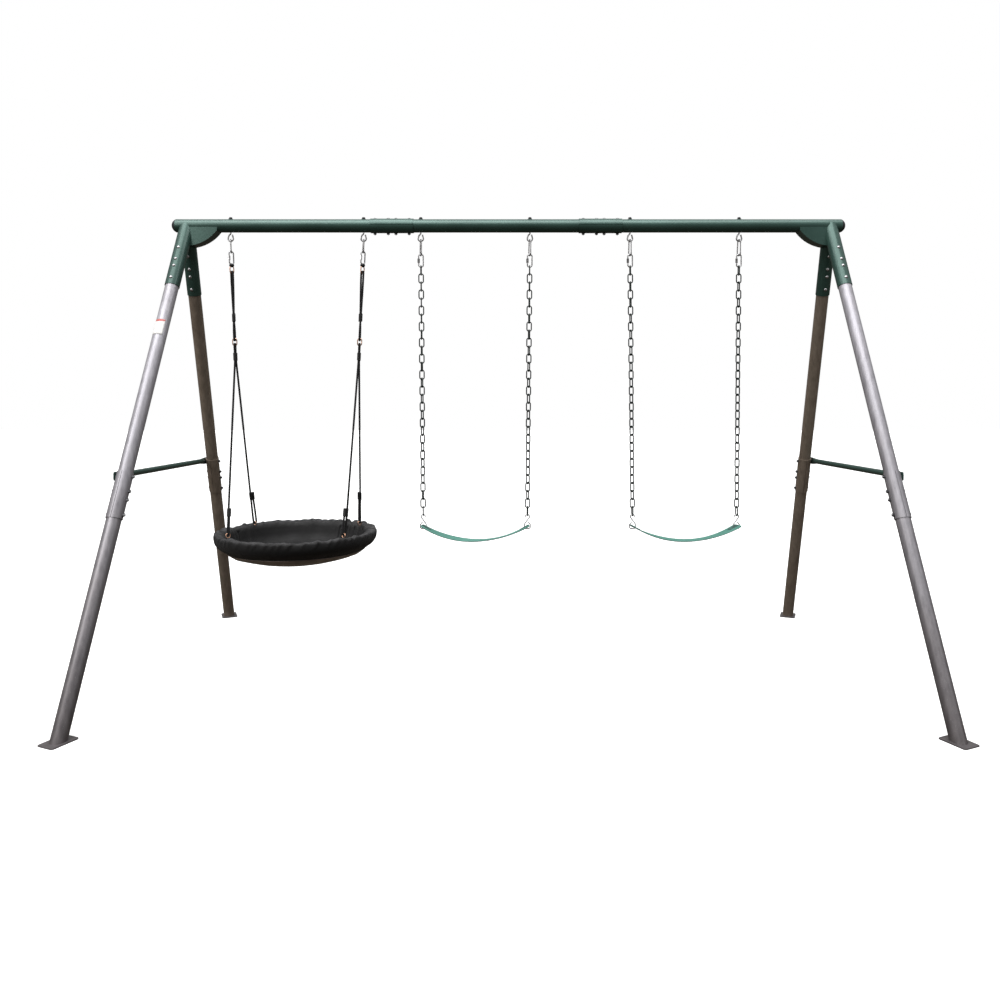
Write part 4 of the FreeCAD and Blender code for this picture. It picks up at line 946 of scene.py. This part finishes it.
def pierce(piece, place, radius):
    """Cuts a round upright hole through a piece."""
    bpy.ops.mesh.primitive_cylinder_add(
        vertices=HOLE_SIDES, radius=radius, depth=DRILL_LENGTH, location=place
    )
    drill = bpy.context.object
    cutter = piece.modifiers.new("hole", "BOOLEAN")
    cutter.operation = "DIFFERENCE"
    cutter.object = drill
    cutter.solver = "EXACT"
    applied(piece)
    bpy.data.objects.remove(drill)


# ---------------------------------------------------------------- sticker

LEG_TOP = Vector((-1.555, 0.0, 2.120))
LEG_FOOT = Vector((-1.668, -0.886, 0.0))
LEG_RADIUS = 0.030
STICKER_TOP = 0.529
STICKER_LENGTH = 0.077
STICKER_HALF_ANGLE = math.radians(50)
STICKER_TURN = math.radians(8)
# Distances of the sticker's two faces from the tube.
STICKER_LAYERS = (0.0004, 0.0001)
STICKER_ROWS = 8
STICKER_COLUMNS = 24
STICKER_BAND_LEVEL = 1.633


def make_sticker(material):
    """Blank sticker wrapped round the front of the front left leg."""
    down = (LEG_FOOT - LEG_TOP).normalized()
    front = (Vector((0, -1, 0)) - down * Vector((0, -1, 0)).dot(down)).normalized()
    side = down.cross(front)
    rows = STICKER_ROWS
    columns = STICKER_COLUMNS
    points = []
    for layer in STICKER_LAYERS:
        for i in range(rows + 1):
            for j in range(columns + 1):
                angle = STICKER_HALF_ANGLE * (2 * j / columns - 1) + STICKER_TURN
                place = LEG_TOP + down * (STICKER_TOP + STICKER_LENGTH * i / rows)
                away = front * math.cos(angle) + side * math.sin(angle)
                points.append(place + away * (LEG_RADIUS + layer))
    layer_size = (rows + 1) * (columns + 1)
    faces = []
    for i in range(rows):
        for j in range(columns):
            a = i * (columns + 1) + j
            outer = (a, a + 1, a + columns + 2, a + columns + 1)
            faces.append(outer)
            faces.append(tuple(layer_size + v for v in outer[::-1]))
    loop = list(range(columns + 1))
    loop += [i * (columns + 1) + columns for i in range(1, rows + 1)]
    loop += [rows * (columns + 1) + j for j in range(columns - 1, -1, -1)]
    loop += [i * (columns + 1) for i in range(rows - 1, 0, -1)]
    for a, b in zip(loop, loop[1:] + loop[:1]):
        faces.append((b, a, a + layer_size, b + layer_size))
    sticker = mesh_piece("leg_sticker", points, faces, material)
    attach(sticker, "frame")


# ---------------------------------------------------------------- the set

FLOOR_HALF = 40.0
FLOOR_LEVEL = -0.0006


def make_floor(material):
    """Wide white floor just under the feet."""
    signs = [(-1, -1), (1, -1), (1, 1), (-1, 1)]
    corners = [(x * FLOOR_HALF, y * FLOOR_HALF, FLOOR_LEVEL) for x, y in signs]
    floor = mesh_piece("floor", corners, [(0, 1, 2, 3)], material)
    # The floor throws no light back on the object, whose undersides are dark.
    floor.visible_diffuse = False
    floor.visible_glossy = False


def finish_for(node, finishes):
    """The material of a carried-over CAD node, from what its name says it is."""
    if node.startswith("beam_cap"):
        return finishes["cap"]
    if node.startswith(("beam_", "end_bracket", "crossbar")):
        return finishes["green"]
    if node.startswith("leg_front") or node == "foot_plates":
        return finishes["silver"]
    # The rear legs take the darker, browner copy of the silver paint, which is painted shade.
    if node.startswith("leg_rear"):
        return finishes["rear_leg_painted_shade"]
    if node in ("sleeve_nuts", "eye_nuts"):
        return finishes["dark_zinc"]
    if node.endswith("_chains"):
        return finishes["chain"]
    if node in ("rope_rings", "rim_rings"):
        return finishes["copper"]
    if node in ("rope_adjusters", "saucer_rim_tube", "rope_lashings"):
        return finishes["adjuster"]
    if node.endswith("end_plates"):
        return finishes["plate"]
    return finishes["zinc"]


def silver_enamel():
    """Silver paint of the front legs and foot plates."""
    return leg_paint("silver_enamel", dark=(0.33, 0.325, 0.36), light=(0.50, 0.49, 0.535),
                     streak=(0.80, 0.77, 0.74), metallic=0.4, painted_foot_shade=(0.27, 0.25, 0.235))


def bronze_enamel():
    """Darker, browner copy of the silver leg paint for the rear legs: painted shade."""
    return leg_paint("bronze_enamel", dark=(0.19, 0.155, 0.125), light=(0.31, 0.255, 0.205),
                     streak=(0.75, 0.72, 0.70), metallic=0.3, painted_foot_shade=(0.85, 0.85, 0.85))


def dress_frame():
    """Gives every carried-over CAD node its procedural material."""
    finishes = {
        "cap": dark_plastic("cap_plastic", (0.016, 0.018, 0.020), 700.0),
        "green": green_enamel(),
        "silver": silver_enamel(),
        "rear_leg_painted_shade": bronze_enamel(),
        "dark_zinc": zinc("dark_zinc", (0.035, 0.035, 0.038), (0.09, 0.09, 0.095), 0.42),
        "chain": chain_enamel(),
        "copper": copper_plate(),
        "adjuster": dark_plastic("adjuster_plastic", (0.006, 0.006, 0.0065), 1100.0),
        "plate": dark_plastic("plate_plastic", (0.045, 0.10, 0.088), 900.0),
        "zinc": zinc("bright_zinc", (0.27, 0.27, 0.28), (0.52, 0.52, 0.53), 0.28),
    }
    for name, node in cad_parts.items():
        node.data.materials.clear()
        node.data.materials.append(finish_for(name, finishes))


make_camera()
make_lights()
make_floor(floor_paper())
make_ropes(rope_yarn())
dress_frame()
charcoal_cloth = woven_cloth("charcoal_cloth", dark=(0.0054, 0.0052, 0.0054), light=(0.0100, 0.0097, 0.0102),
                             thread=420.0, sheen=0.05)
make_saucer_cover(charcoal_cloth)
make_wear_panel(coated_panel())
belt_face = belt_rubber()
belt_side = belt_edge()
make_belt("a", belt_face, belt_side)
make_belt("b", belt_face, belt_side)
make_sticker(sticker_paper())
